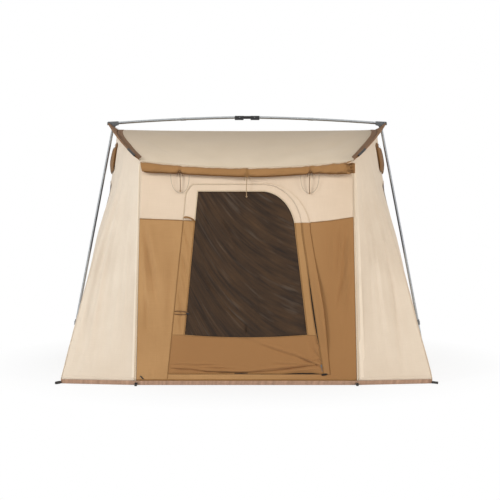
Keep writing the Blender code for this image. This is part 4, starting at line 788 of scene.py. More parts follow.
def grid_sheet(name, surface, us, vs, size, material, window=None, thickness=CANVAS):
    """Cloth over surface(u, v), about size metres wide and long, with a window of (u, v) ranges."""
    u, v = np.meshgrid(us, vs)
    index = np.arange(u.size).reshape(u.shape)
    quads = np.stack((index[:-1, :-1], index[:-1, 1:], index[1:, 1:], index[1:, :-1]), axis=-1).reshape(-1, 4)
    if window:
        (u0, u1), (v0, v1) = window
        middle_u, middle_v = u.ravel()[quads].mean(axis=1), v.ravel()[quads].mean(axis=1)
        quads = quads[~((middle_u > u0) & (middle_u < u1) & (middle_v > v0) & (middle_v < v1))]
    points = surface(u.ravel(), v.ravel())
    cut = pairs(size[0] * u.ravel(), size[1] * v.ravel())
    used = np.unique(quads)
    renumber = np.zeros(u.size, int)
    renumber[used] = np.arange(len(used))
    return make_piece(name, points[used], renumber[quads].tolist(), cut[used], material, thickness)


def skin(name, rings, material, around=True, loop=False, thickness=0.0):
    """Skins a run of rings of points. around closes each ring, and loop joins the last to the first."""
    rings = np.asarray(rings, float)
    count, width = rings.shape[:2]
    index = np.arange(count * width).reshape(count, width)
    rows = np.vstack((index, index[:1])) if loop else index
    grid = np.hstack((rows, rows[:, :1])) if around else rows
    faces = np.stack((grid[:-1, :-1], grid[:-1, 1:], grid[1:, 1:], grid[1:, :-1]), axis=-1).reshape(-1, 4).tolist()
    if around and not loop:
        faces += [index[0][::-1].tolist(), index[-1].tolist()]
    across = np.linalg.norm(np.diff(rings, axis=1), axis=2)
    across = np.hstack((np.zeros((count, 1)), np.cumsum(across, axis=1)))
    cut = pairs(across, distances(rings.mean(axis=1))[:, None]).reshape(-1, 2)
    return make_piece(name, rings.reshape(-1, 3), faces, cut, material, thickness, closed=around)


def strip(name, centres, out, width, thick, material, loop=False):
    """A flat strip of cloth or tape swept along centres, with rounded edges. out points off the cloth."""
    centres = np.asarray(centres, float)
    if loop:
        run = np.roll(centres, -1, axis=0) - np.roll(centres, 1, axis=0)
    else:
        run = np.gradient(centres, axis=0)
    run = unit(run)
    across = unit(np.cross(run, np.broadcast_to(out, centres.shape)))
    out = np.cross(across, run)
    half, edge = width / 2, min(thick, width / 4)
    profile = ((-half, 0), (-half + 0.3 * edge, 0.7 * thick), (-half + edge, thick), (0, thick),
               (half - edge, thick), (half - 0.3 * edge, 0.7 * thick), (half, 0), (0, -0.1 * thick))
    rings = np.stack([centres + u * across + v * out for u, v in profile], axis=1)
    piece = skin(name, rings, material, loop=loop)
    flat = stack(np.array([u for u, _ in profile]), distances(centres)[:, None], 0).astype(np.float32)
    piece.data.attributes["cut"].data.foreach_set("vector", flat.ravel())
    return piece


def join_pieces(name, pieces):
    """Makes several meshes one piece."""
    bpy.context.view_layer.update()
    first = pieces[0]
    with bpy.context.temp_override(active_object=first, object=first, selected_objects=pieces,
                                   selected_editable_objects=pieces):
        bpy.ops.object.join()
    first.name = first.data.name = name
    return first


def tube(name, points, radius, material, closed=False):
    """A round cord along a smooth line of points."""
    curve = bpy.data.curves.new(name, "CURVE")
    curve.dimensions, curve.bevel_depth, curve.bevel_resolution, curve.use_fill_caps = "3D", radius, 4, True
    spline = curve.splines.new("POLY")
    spline.points.add(len(points) - 1)
    for point, place in zip(spline.points, points):
        point.co = (*place, 1)
    spline.use_cyclic_u = closed
    curve.materials.append(material)
    return new_object(name, curve)


def sew(name, line, width, material, place=front, body="canvas", lift=0.0008, thick=0.0012):
    """A seam or tape that follows a line of (x, height) points on a wall."""
    out = WALL_OUT[-1 if place is rear else 1]
    return dress(strip(name, place(*spaced(line, 0.02).T, lift), out, width, thick, material), body=body)


# Roof and sides

def build_roof():
    ts, across = np.linspace(-0.999, 0.999, 151), np.linspace(0.0006, 0.9994, 141)
    roof = dress(grid_sheet("roof_canvas", roof_surface, across, ts, ROOF_CUT, ROOF), "roof_front", "roof_rear")
    across = np.linspace(0.004, 0.996, 120)
    for name, t, out in (("ridge_seam", 0.0, (0, 0, 1)), ("eave_seam_front", 0.988, (0, -0.3, 1)),
                         ("eave_seam_rear", -0.988, (0, 0.3, 1))):
        dress(strip(name, roof_surface(across, t, 0.0012), out, 0.012, 0.0012, CREAM_SEAM))


def build_side(word, side):
    sill, top = SIDE_WINDOW_T, SIDE_WINDOW_DOWN
    ts = np.unique(np.round(np.concatenate((
        np.linspace(-0.999, -sill, 64), np.linspace(-sill, sill, 44), np.linspace(sill, 0.999, 64),
        (-CORNER_SHARE, CORNER_SHARE))), 6))
    downs = np.unique(np.round(np.concatenate((
        np.linspace(0.0006, top[0], 30), np.linspace(*top, 36), np.linspace(top[1], 1, 46))), 6))
    wall = grid_sheet(f"side_canvas_{word}", lambda t, down: side_surface(t, down, side), ts, downs, SIDE_CUT, SIDE,
                      window=((-sill, sill), top))
    dress(wall, f"side_wall_{word}", f"wing_front_{word}", f"wing_rear_{word}")

    def window(t, down):
        slack = ease(0, 0.04, sill - np.abs(t)) * ease(0, 0.05, np.minimum(down - top[0], top[1] - down))
        across, height = SIDE_RUN * t, SIDE_FALL * down
        sag = folds(across, height, ((-0.6, 0.55, 0.1, 1.0, 0.03, 0.006), (0.6, 0.52, 0.2, 1.05, 0.03, 0.006),
                                     (-0.2, 0.6, 0.4, 1.1, 0.025, -0.005)))
        wrinkle = creases(across + down, 1.5 * down, 0.14, 0.002, 51) + ripple(across, height, 0.3, 0.006, 52)
        return side_surface(t, down, side, slack * (sag + wrinkle - 0.012) - 0.001)

    reach = 0.002
    mesh = grid_sheet(f"side_screen_{word}", window, np.linspace(-sill - reach, sill + reach, 80),
                      np.linspace(top[0] - reach, top[1] + reach, 60), SIDE_CUT, SCREEN, thickness=SCREEN_CLOTH)
    dress(show_pull(mesh), f"side_mesh_{word}")

    ring = np.array([(-sill, top[0]), (sill, top[0]), (sill, top[1]), (-sill, top[1])])
    ring = np.vstack([np.linspace(a, b, 40, endpoint=False) for a, b in zip(ring, np.roll(ring, -1, axis=0))])
    dress(strip(f"side_window_binding_{word}", side_surface(*ring.T, side, 0.0006), side_out(ring[:, 0], side),
                0.022, 0.0010, TAN_SEAM, loop=True))
    down = np.linspace(0.012, 0.998, 110)
    pale_t, wide = (0.972, 0.044) if side > 0 else (0.984, 0.020)
    for end_word, end in ENDS:
        for name, t, lift, out, width, thick, material in (
                ("corner_seam", CORNER_SHARE, 0.0010, side_out(end * CORNER_SHARE, side), 0.010, 0.0008, SIDE),
                ("wall_pale_band", pale_t, 0.0006, side_out(end * 0.97, side), wide, 0.0008, PALE_BAND),
                ("wall_seam", 0.993, 0.0010, (0, -end, 0.05), 0.010, 0.0014, CREAM_SEAM)):
            line = side_surface(end * t, down, side, lift)
            dress(strip(f"{name}_{end_word}_{word}", line, out, width, thick, material))
    foot_t = np.linspace(-0.99, 0.99, 260)
    dress(strip(f"side_hem_{word}", side_surface(foot_t, 0.992, side, 0.0010), side_out(foot_t, side),
                0.022, 0.0010, SIDE))

    ts = np.linspace(-COVER_REACH, COVER_REACH, COVER_RINGS)
    top = canvas_edge(ts, side)[:, 2]
    downs = (top - COVER_MIDDLE) / (top - WALL_BOTTOM)
    base = side_surface(ts, downs, side)
    along = unit(np.gradient(base, axis=0))
    out = unit(np.cross(along, side_surface(ts, downs + 0.01, side) - side_surface(ts, downs - 0.01, side)))
    out *= np.sign(out[:, :1] * side)
    up = np.cross(out, along)
    up *= np.sign(up[:, 2:])
    rounded = np.sqrt(np.clip(1 - (ts / COVER_REACH) ** 8, 0.02, 1))
    straps = (-0.22, 0.0, 0.22)
    pinch = sum(bell(ts, at, 0.035) for at in straps)
    girth = COVER_DEPTH * (1.04 - 0.17 * pinch) * mix(0.35, 1, rounded)
    tall = COVER_HALF_HEIGHT * (1.02 - 0.10 * pinch) * mix(0.75, 1, rounded)
    axes = (base + out * 0.0020, out, up)
    cover = roll_cover("side_cover", f"_{word}", SHADED_COVER, axes, ts, straps, (26, 61), girth, tall)
    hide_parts(f"side_cover_roll_{word}")


def spiral(turns, core_share, steps):
    """A roll's cloth as (y, z) points on a radius of 1, from its core out to its free edge at the top."""
    count = round(turns * steps)
    share = np.arange(count + 1) / count
    angle = math.pi / 2 - 2 * math.pi * turns * (1 - share)
    reach = mix(core_share, 1, share)
    return pairs(-reach * np.cos(angle), reach * np.sin(angle)), angle


def roll_cover(name, end, material, axes, along, straps, waves, girth, tall=None):
    """A window's cover, rolled up and strapped. axes are the rings' centres and their ways out and up, and along
    tells where they are. A roll with a height of its own has slumped flat against its wall."""
    centre, out, up = axes
    turns, angle = spiral(COVER_TURNS, COVER_CORE_SHARE, COVER_STEPS)
    wrinkle = 0.05 * np.sin(3 * angle + waves[0] * along[:, None])
    wrinkle = 1 + wrinkle + 0.035 * np.sin(5 * angle - waves[1] * along[:, None])
    deep, high = girth[:, None] * wrinkle * turns[:, 0], girth[:, None] * wrinkle * turns[:, 1]
    if tall is not None:
        rise = np.clip(turns[:, 1], -1, 1)
        deep = (0.5 * girth)[:, None] * wrinkle * (np.sqrt(1 - rise ** 2) + turns[:, 0])
        high = tall[:, None] * rise
    rings = centre[:, None] + deep[..., None] * out[:, None] + high[..., None] * up[:, None]
    cover = dress(skin(f"{name}{end}", rings, material, around=False, thickness=DOUBLE_CLOTH), slot="tan_canvas")
    angles = circle(28)
    for number, at in enumerate(straps):
        i = int(np.argmin(np.abs(along - at)))
        if tall is None:
            deep, high, core = (girth[i] + 0.0022) * np.cos(angles), girth[i] + 0.0022, 0
        else:
            deep, high, core = (girth[i] + 0.003) * np.clip(np.cos(angles), 0, 1), tall[i] + 0.003, 0.3 * girth[i]
        ring = centre[i] + deep[:, None] * out[i] + (high * np.sin(angles))[:, None] * up[i]
        dress(strip(f"{name}_strap{end}_{number}", ring, unit(ring - centre[i] - core * out[i]), STRAP, 0.0014,
                    BROWN_TAPE, loop=True))
    return cover


# Sleeves and straps on the bars

def bar_frame(t, side):
    """The bar's axis points with their ways in to the canvas and across, and how far in it is."""
    centre = bar_point(t, side)
    along = unit(bar_point(t + 0.004, side) - bar_point(t - 0.004, side))
    to_edge = canvas_edge(t, side) - centre
    inward = unit(to_edge - along * np.sum(along * to_edge, axis=1, keepdims=True))
    return centre, inward, np.cross(along, inward), np.linalg.norm(to_edge, axis=1)


def build_sleeve(word, side, end_word, end):
    """Canvas folded over the bar and sewn to itself below, as a fin that runs in to the roof's edge."""
    t = end * np.linspace(SLEEVE_START, SLEEVE_END, 90)
    centre, inward, across, length = bar_frame(t, side)
    run = 2 * math.pi * EAVE_DEPTH * t
    gather = 1 + 0.14 * np.sin(run / 0.06) + 0.1 * np.sin(run / 0.023 + 1)
    round_bar = BAR_RADIUS + SLEEVE_OFF
    shape = ((0.985, 0.0011), (0.85, 0.0014), (0.65, 0.0020), (0.48, 0.0026), (0.34, 0.0034), (0.2, 0.0052))
    halves = [(share * length, height * gather) for share, height in shape]
    halves += [(np.full(len(t), round_bar * math.cos(a)), np.full(len(t), round_bar * math.sin(a)))
               for a in np.radians((60, 90, 120, 150, 172))]
    points = [centre + s[:, None] * inward + h[:, None] * across for s, h in halves]
    points += [centre + s[:, None] * inward - h[:, None] * across for s, h in reversed(halves)]
    dress(skin(f"sleeve_{end_word}_{word}", np.stack(points, axis=1), BROWN), f"bar_sleeve_{end_word}_{word}")

    # The sleeve's upper leaf, sewn down on the roof's edge
    leaf_t = np.linspace(LEAF_START, LEAF_END, 80)
    width = LEAF_WIDTH * ease(0.97, 0.86, leaf_t) / (2 * canvas_edge(leaf_t, 1)[:, 0])
    across = width[:, None] * np.linspace(0.0004, 1, 8)
    if side > 0:
        across = 1 - across
    leaf = roof_surface(across, end * leaf_t[:, None], 0.0016)
    dress(skin(f"sleeve_leaf_{end_word}_{word}", leaf, BROWN, around=False, thickness=DOUBLE_CLOTH))

    # The webbing pocket round the end of the bar
    centre, inward, across, _ = bar_frame(end * np.linspace(POCKET_START, SLEEVE_END + 0.004, 26), side)
    rings = [centre + (round_bar + 0.0012) * (math.cos(a) * inward + math.sin(a) * across)
             for a in np.radians(np.linspace(70, 290, 12))]
    dress(skin(f"bar_end_pocket_{end_word}_{word}", np.stack(rings, axis=1), BLACK_TAPE, around=False,
               thickness=WEBBING))


def build_apex_strap(word, side):
    """A webbing yoke from the bar to the canvas corner, one leg each side of the end fitting."""
    pieces = []
    for number, end in enumerate((1, -1)):
        top, foot = bar_point(end * APEX_WEB_OUT / EAVE_DEPTH, side), canvas_edge(0.0, side)
        foot = foot + np.array((0, top[1], 0))
        run = unit(foot - top)
        out = np.cross(run, (0, 1, 0))
        bend = mix(top + run * BAR_RADIUS * 1.6, foot, np.linspace(0, 0.985, 16)[:, None])
        bend = bend + 0.002 * np.sin(np.linspace(0, math.pi, 16))[:, None] * out
        pieces.append(strip(f"apex_leg_{number}", bend, out, APEX_WEB, WEBBING, BLACK_TAPE))
        angles = circle(18)[:, None]
        wrap = top + (BAR_RADIUS + 0.0012) * (np.cos(angles) * run + np.sin(angles) * out)
        pieces.append(strip(f"apex_wrap_{number}", wrap, unit(wrap - top), APEX_WEB, WEBBING, BLACK_TAPE, loop=True))
    middle = canvas_edge(0.0, side) - 0.010 * run
    bridge = middle + np.linspace(-1, 1, 10)[:, None] * (0, APEX_BRIDGE_HALF, 0)
    pieces.append(strip("apex_bridge", bridge, out, APEX_WEB, WEBBING, BLACK_TAPE))
    dress(join_pieces(f"apex_yoke_{word}", pieces), f"apex_strap_{word}")


# Front wall and door

BAND_EDGE = float(wall_side(BAND_END)) - SEWN_GAP
FOOT_EDGE = WALL_FOOT_HALF - SEWN_GAP


def eave_line():
    x = np.linspace(0.999 * WALL_TOP_HALF, -0.999 * WALL_TOP_HALF, 60)
    return pairs(x, eave_height(x) - 0.001)


def band_run(x0, x1):
    x = np.linspace(x0, x1, max(2, round(abs(x1 - x0) / 0.03) + 1))
    return pairs(x, band_line(x))


def hem_run(inset):
    return np.array([(-FOOT_EDGE + inset, WALL_BOTTOM + 0.007), (FOOT_EDGE - inset, WALL_BOTTOM + 0.007)])


def build_front_wall():
    doorway = shift_line(doorway_line(HINGE_BAND, ZIP_BAND), 0.0004)
    cream = np.vstack((band_run(-BAND_EDGE, doorway[0, 0]), doorway[1:-1], band_run(doorway[-1, 0], BAND_EDGE),
                       eave_line()))
    wall = dress(cut_sheet("front_wall_cream", cream, front, CREAM), "front_wall_upper")

    heights = np.linspace(DOOR_SILL, ZIP_BAND, 60)
    zip_side = pairs(zip_x(heights) + 0.0004, heights)[::-1]
    tan = np.vstack(([(-FOOT_EDGE, WALL_BOTTOM), (FOOT_EDGE, WALL_BOTTOM)], band_run(BAND_EDGE, zip_side[0, 0]),
                     zip_side[1:], [(hinge_x(DOOR_SILL) - 0.0004, DOOR_SILL)],
                     band_run(hinge_x(HINGE_BAND) - 0.0004, -BAND_EDGE)))
    lower = dress(cut_sheet("front_wall_tan", tan, front, FRONT_TAN, spacing=0.012), "front_wall_lower")

    sew("band_seam_0", band_run(-BAND_EDGE, hinge_x(HINGE_BAND) - 0.004), BAND_SEAM, TAN_SEAM)
    sew("band_seam_1", band_run(FLAP_KNEE + 0.004, BAND_EDGE), BAND_SEAM, TAN_SEAM)
    sew("hinge_seam_tan", [(hinge_x(z) - 0.0022, z) for z in (DOOR_SILL - 0.045, HINGE_BAND)], BAND_SEAM, TAN_SEAM)
    sew("doorway_seam_cream", shift_line(doorway_line(HINGE_BAND, 1.45), 0.0045), SEAM, CREAM_SEAM)
    sew("front_hem", hem_run(0.004), 0.012, TAN_SEAM)


def build_storm_flap():
    """The strip sewn beside the zip, cream above the band and tan below it."""
    arc = quarter((ZIP_KNEE - ZIP_ARC_WIDTH, ZIP_KNEE_HEIGHT), FLAP_KNEE - ZIP_KNEE + ZIP_ARC_WIDTH,
                  DOOR_TOP - ZIP_KNEE_HEIGHT + 0.012, 88, 0, 26)
    outer = np.vstack((arc, [(FLAP_HIP, FLAP_HIP_HEIGHT), (FLAP_FOOT, DOOR_SILL)]))
    outer_top, outer_low = outer[outer[:, 1] > FLAP_BAND], outer[outer[:, 1] < FLAP_BAND]
    at_band = float(np.interp(FLAP_BAND, outer[::-1, 1], outer[::-1, 0]))

    def flap(x, z, lift=0.0):
        """Sewn down along the zip, and standing off the wall at its free edge."""
        off = np.clip((x - zip_x(z)) / 0.05, 0, 1)
        gape = ease(0.20, 0.45, z) * (1 - ease(0.75, 1.05, z))
        return front(x, z, lift + 0.0017 + (0.0022 + 0.0190 * gape) * off ** 1.5)

    inner = shift_line(arch_line(ZIP_BAND, ZIP_KNEE, ZIP_ARC_WIDTH, DOOR_TOP, zip_x), 0.0020)
    cream = np.vstack((inner, [(at_band, FLAP_BAND)], outer_top[::-1]))
    upper = dress(cut_sheet("storm_flap_cream", cream, flap, CREAM, spacing=0.010), "storm_flap")
    heights = np.linspace(DOOR_SILL, FLAP_BAND, 50)
    tan = np.vstack((pairs(zip_x(heights) + 0.0020, heights), [(at_band, FLAP_BAND)], outer_low))
    lower = dress(cut_sheet("storm_flap_tan", tan, flap, FRONT_TAN, spacing=0.010), "storm_flap")
    # A dark strip under the flap's free edge: painted shadow.
    sew("storm_flap_edge_shadow_tan", np.vstack(([(at_band, FLAP_BAND - 0.002)], outer_low)), 0.007, TAN_EDGE_SHADOW, flap,
        lift=-0.0006)
    sew("storm_flap_edge_cream", np.vstack((outer_top, [(at_band, FLAP_BAND + 0.002)])), 0.004, CREAM_SEAM,
        lift=0.0036)
    sew("storm_flap_stitching", pairs(zip_x(heights) + 0.0060, heights), SEAM, TAN_SEAM, flap, lift=0.0004,
        thick=0.0008)


def build_door():
    """The door: cream and tan canvas round a mesh, a tape along the mesh that is partly painted shadow, and seams
    along its edges.
    """
    outer = shift_line(doorway_line(HINGE_BAND, ZIP_BAND), -0.0004)
    inner = mesh_line(SCREEN_LEFT_BAND, SCREEN_RIGHT_BAND)
    cream = np.vstack((outer, band_run(outer[-1, 0], inner[-1, 0])[1:-1], inner[::-1],
                       band_run(inner[0, 0], outer[0, 0])[1:-1]))
    upper = cut_sheet("door_panel_cream", cream, front, CREAM, spacing=0.011)
    dress(upper, "door_panel_upper", body="door")

    xs = np.linspace(MESH_FOOT_LEFT, MESH_FOOT_RIGHT, 50)
    sill = pairs(xs, mesh_sill(xs))
    right_mesh = np.linspace(MESH_SILL, SCREEN_RIGHT_BAND, 40)
    right_mesh = pairs(mesh_right(right_mesh), right_mesh)
    heights = np.linspace(DOOR_SILL, ZIP_BAND, 80)
    zip_line = zip_x(heights) - zip_gap(heights)
    zip_side = pairs(zip_line, heights)[::-1]
    foot_x = np.linspace(zip_side[-1, 0], hinge_x(DOOR_SILL) + 0.0004, 70)
    foot_z = DOOR_SILL + sill_gap(foot_x)
    tan = np.vstack(([(hinge_x(HINGE_BAND) + 0.0004, HINGE_BAND)],
                     band_run(hinge_x(HINGE_BAND), mesh_left(SCREEN_LEFT_BAND))[1:-1],
                     [(mesh_left(SCREEN_LEFT_BAND), SCREEN_LEFT_BAND)], sill, right_mesh[1:],
                     band_run(mesh_right(SCREEN_RIGHT_BAND), zip_side[0, 0])[1:-1], zip_side[:-1],
                     pairs(foot_x, foot_z)))
    lower = cut_sheet("door_panel_tan", tan, front, DOOR_TAN, spacing=0.010, fine=(0.22, 0.0055))
    dress(lower, "door_panel_lower", body="door")

    hole = np.vstack((mesh_line(MESH_SILL, MESH_SILL), sill[::-1][1:-1]))
    mesh = cut_sheet("door_screen", hole, lambda x, z: screen(x, z, -0.0014), SCREEN, 0.0095, SCREEN_CLOTH)
    dress(show_pull(mesh), "door_mesh", body="door")

    low_left, low_right = 0.407, 0.402
    # A black tape round the mesh, partly under the canvas: a binding, and painted shadow under the canvas's hem.
    rim = spaced(hole, 0.02, closed=True)
    tape = strip("door_screen_shadow_tape", front(*rim.T, -0.0016), WALL_OUT[1], 0.007, 0.0012, ZIP_TAPE, loop=True)
    dress(tape, body="door")
    for name, line, width, material in (
            ("door_screen_hem_cream", shift_line(inner, 0.006), 0.009, CREAM_SEAM),
            ("door_seam_tan_0", [(hinge_x(low_left) + 0.002, low_left), (MESH_FOOT_LEFT, 0.405)], SEAM, TAN_SEAM),
            ("door_seam_tan_1",
             [(MESH_FOOT_RIGHT, 0.405), (zip_x(low_right) - zip_gap(low_right) - 0.002, low_right)], SEAM, TAN_SEAM),
            ("door_seam_tan_2", shift_line(sill, -0.006), SEAM, TAN_SEAM),
            ("door_seam_tan_3", shift_line(right_mesh, -0.007), SEAM, TAN_SEAM),
            ("door_seam_tan_4", [(mesh_left(z) - 0.007, z) for z in (SCREEN_LEFT_BAND, MESH_SILL)], SEAM, TAN_SEAM),
            ("door_foot_hem", pairs(foot_x, foot_z + 0.006), 0.008, TAN_SEAM),
            ("door_zip_hem", pairs(zip_line - 0.005, heights)[4:], SEAM, TAN_SEAM),
            ("door_band_seam", band_run(hinge_x(HINGE_BAND) + 0.003, mesh_left(SCREEN_LEFT_BAND) - 0.003),
             SEAM, TAN_SEAM)):
        sew(name, line, width, material, body="door")


def build_zip():
    """Black zip tape with its coil, half on the door and half on the wall, seen where the zip gapes."""
    line = arch_line(DOOR_SILL, ZIP_KNEE, ZIP_ARC_WIDTH, DOOR_TOP, zip_x)
    line = np.vstack((pairs(np.linspace(-0.40, -0.01 + ZIP_KNEE - ZIP_ARC_WIDTH, 12), DOOR_TOP), line))
    for word, body, shift in (("door", "door", -ZIP_TAPE_OFF), ("wall", "canvas", ZIP_TAPE_OFF)):
        sew(f"zip_tape_{word}", shift_line(line, shift), ZIP_TAPE_WIDTH, ZIP_TAPE, body=body, lift=ZIP_TAPE_LIFT,
            thick=0.001)
        sew(f"zip_coil_{word}", shift_line(line, 0.2 * shift), ZIP_COIL, ZIP_TAPE, body=body, lift=-0.0032,
            thick=0.0028)
    sill = pairs(np.linspace(hinge_x(DOOR_SILL) + 0.01, ZIP_FOOT + 0.02, 50), DOOR_SILL + 0.002)
    sew("sill_zip_tape", sill, 0.020, ZIP_TAPE, lift=ZIP_TAPE_LIFT, thick=0.001)
    # A black patch over the wall at the zip's foot: painted shade for the dark opening there
    angles = circle(24)
    hole = pairs(0.634 + 0.026 * np.cos(angles), 0.086 + 0.0085 * np.sin(angles) + 0.004 * np.cos(angles))
    dress(cut_sheet("zip_foot_painted_shade", hole, lambda x, z: front(x, z, 0.0050), ZIP_TAPE, 0.006, SCREEN_CLOTH))


def wall_path(places, count):
    """A smooth line of points on the front wall through a few places, each with its height off the cloth."""
    return front(*smooth_line(places, count).T)


def build_tie_backs():
    """A curled strap beside the band, and an elastic loop with its toggle lower down, for the open door."""
    line = wall_path([(-0.515, 1.362, 0.0030), (-0.500, 1.366, 0.010), (-0.482, 1.364, 0.016), (-0.462, 1.358, 0.020),
                      (-0.445, 1.350, 0.018), (-0.432, 1.338, 0.010), (-0.422, 1.326, 0.0035)], 40)
    run = unit(np.gradient(line, axis=0))
    out = unit(np.cross(run, np.cross(WALL_OUT[1] + 0.6 * np.array((0, 0, 1)), run)))
    dress(strip("tie_back_strap", line, out, 0.015, 0.0018, TAN_SEAM), "tie_back_upper", slot="brown_canvas")

    line = wall_path([(-0.588, 0.597, 0.0045), (-0.560, 0.600, 0.008), (-0.520, 0.598, 0.009),
                      (-0.486, 0.591, 0.010), (-0.474, 0.583, 0.011), (-0.486, 0.576, 0.010),
                      (-0.520, 0.572, 0.008), (-0.560, 0.574, 0.007), (-0.586, 0.577, 0.0045)], 60)
    loop = dress(tube("tie_back_loop", line, 0.0030, TIE_CORD), "tie_back_lower", slot="elastic_cord")
    profile = ((0.0004, 0), (0.0045, 0.0006), (0.0062, 0.003), (0.0066, 0.010), (0.0058, 0.015), (0.0062, 0.020),
               (0.0050, 0.0242), (0.0004, 0.0252))
    angles = circle(20)[:, None]
    foot, across = front(-0.492, 0.579, 0.0095), np.array((1.0, 0, 0.06))
    rings = [foot + across * height + radius * (np.cos(angles) * WALL_OUT[1] + np.sin(angles) * (0, 0.06, 1))
             for radius, height in profile]
    toggle = dress(skin("tie_back_toggle", rings, NYLON), slot="black_plastic")

    tab = wall_path([(-0.866, 0.074, 0.002), (-0.858, 0.070, 0.010), (-0.848, 0.060, 0.012),
                     (-0.840, 0.050, 0.003)], 16)
    dress(strip("foot_tab", tab, WALL_OUT[1], 0.009, 0.0016, BLACK_TAPE))


# Rear wall

def build_rear_wall():
    """The same two-tone canvas behind, with one wide mesh window and its rolled cover."""
    half, sill, top = REAR_WINDOW_HALF, REAR_WINDOW_SILL, REAR_WINDOW_TOP
    opening = np.array([(-half, sill), (half, sill), (half, top), (-half, top)])
    cream = [(-BAND_EDGE, BAND_END), (-half, BAND_END), (-half, top), (half, top), (half, BAND_END),
             (BAND_EDGE, BAND_END), *eave_line()]
    upper = dress(cut_sheet("rear_wall_cream", cream, rear, CREAM, spacing=0.018), "rear_wall")
    tan = [(-FOOT_EDGE, WALL_BOTTOM), (FOOT_EDGE, WALL_BOTTOM), (BAND_EDGE, BAND_END), (half, BAND_END), (half, sill),
           (-half, sill), (-half, BAND_END), (-BAND_EDGE, BAND_END)]
    lower = dress(cut_sheet("rear_wall_tan", tan, rear, TAN, spacing=0.018), "rear_wall")

    def slack(x, z):
        free = ease(0, 0.06, half - np.abs(x)) * ease(0, 0.06, np.minimum(z - sill, top - z))
        rows = ((-0.45, 1.5, 0.0, 1.05, 0.02, 0.007), (0.4, 1.5, 0.1, 1.0, 0.02, -0.006),
                (-0.3, 1.2, 0.3, 1.0, 0.02, 0.006))
        return rear(x, z, free * (folds(x, z, rows) + creases(x + z, z, 0.12, 0.0025, 61)) - 0.0014)

    mesh = dress(show_pull(cut_sheet("rear_screen", opening, slack, SCREEN, thickness=SCREEN_CLOTH)), "rear_mesh")
    out = WALL_OUT[-1]
    ring = spaced(opening, 0.02, closed=True)
    dress(strip("rear_window_binding", rear(*ring.T, 0.0008), out, 0.022, 0.0016, TAN_SEAM, loop=True))
    sew("rear_band_seam_0", [(-BAND_EDGE, BAND_END), (-half - 0.012, BAND_END)], 0.008, TAN_SEAM, rear)
    sew("rear_band_seam_1", [(half + 0.012, BAND_END), (BAND_EDGE, BAND_END)], 0.008, TAN_SEAM, rear)
    sew("rear_hem", hem_run(0), 0.012, TAN_SEAM, rear)

    xs = np.linspace(-REAR_COVER_HALF, REAR_COVER_HALF, COVER_RINGS)
    straps = (-0.42, 0.0, 0.42)
    centre = wall_point(xs, REAR_COVER_HEIGHT, REAR_COVER_RADIUS + 0.0014, -1)
    axes = (centre, np.broadcast_to(out, centre.shape), np.broadcast_to((0, 0, 1), centre.shape))
    girth = REAR_COVER_RADIUS * (1.04 - 0.17 * sum(bell(xs, at, 0.045) for at in straps))
    cover = roll_cover("rear_cover", "", ROLLED, axes, xs, straps, (21, 47), girth)
    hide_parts("rear_cover_roll")


# Rolled awning

def roll_radius(x):
    """The rolled awning's radius, eased between its girths."""
    places, radii = zip(*ROLL_GIRTHS)
    i = min(max(np.searchsorted(places, x) - 1, 0), len(places) - 2)
    share = min(max((x - places[i]) / (places[i + 1] - places[i]), 0), 1)
    pinch = sum(bell(x, at, 0.016) for at in TIE_PLACES[::2])
    return mix(radii[i], radii[i + 1], (1 - math.cos(math.pi * share)) / 2) - 0.005 * pinch


def roll_centre(x):
    """The roll's axis: just under the eave, against the outside of the wall."""
    radius = roll_radius(x)
    return wall_point(x, float(eave_height(x)) - 0.0090 - ROLL_TALL * radius, radius + 0.0016)


def on_roll(x, turn, off=0.002):
    """A place on the roll's outside, turned down from its front by an angle in radians."""
    reach = roll_radius(x) + off
    return roll_centre(x) - (0, reach * math.cos(turn), ROLL_TALL * reach * math.sin(turn))


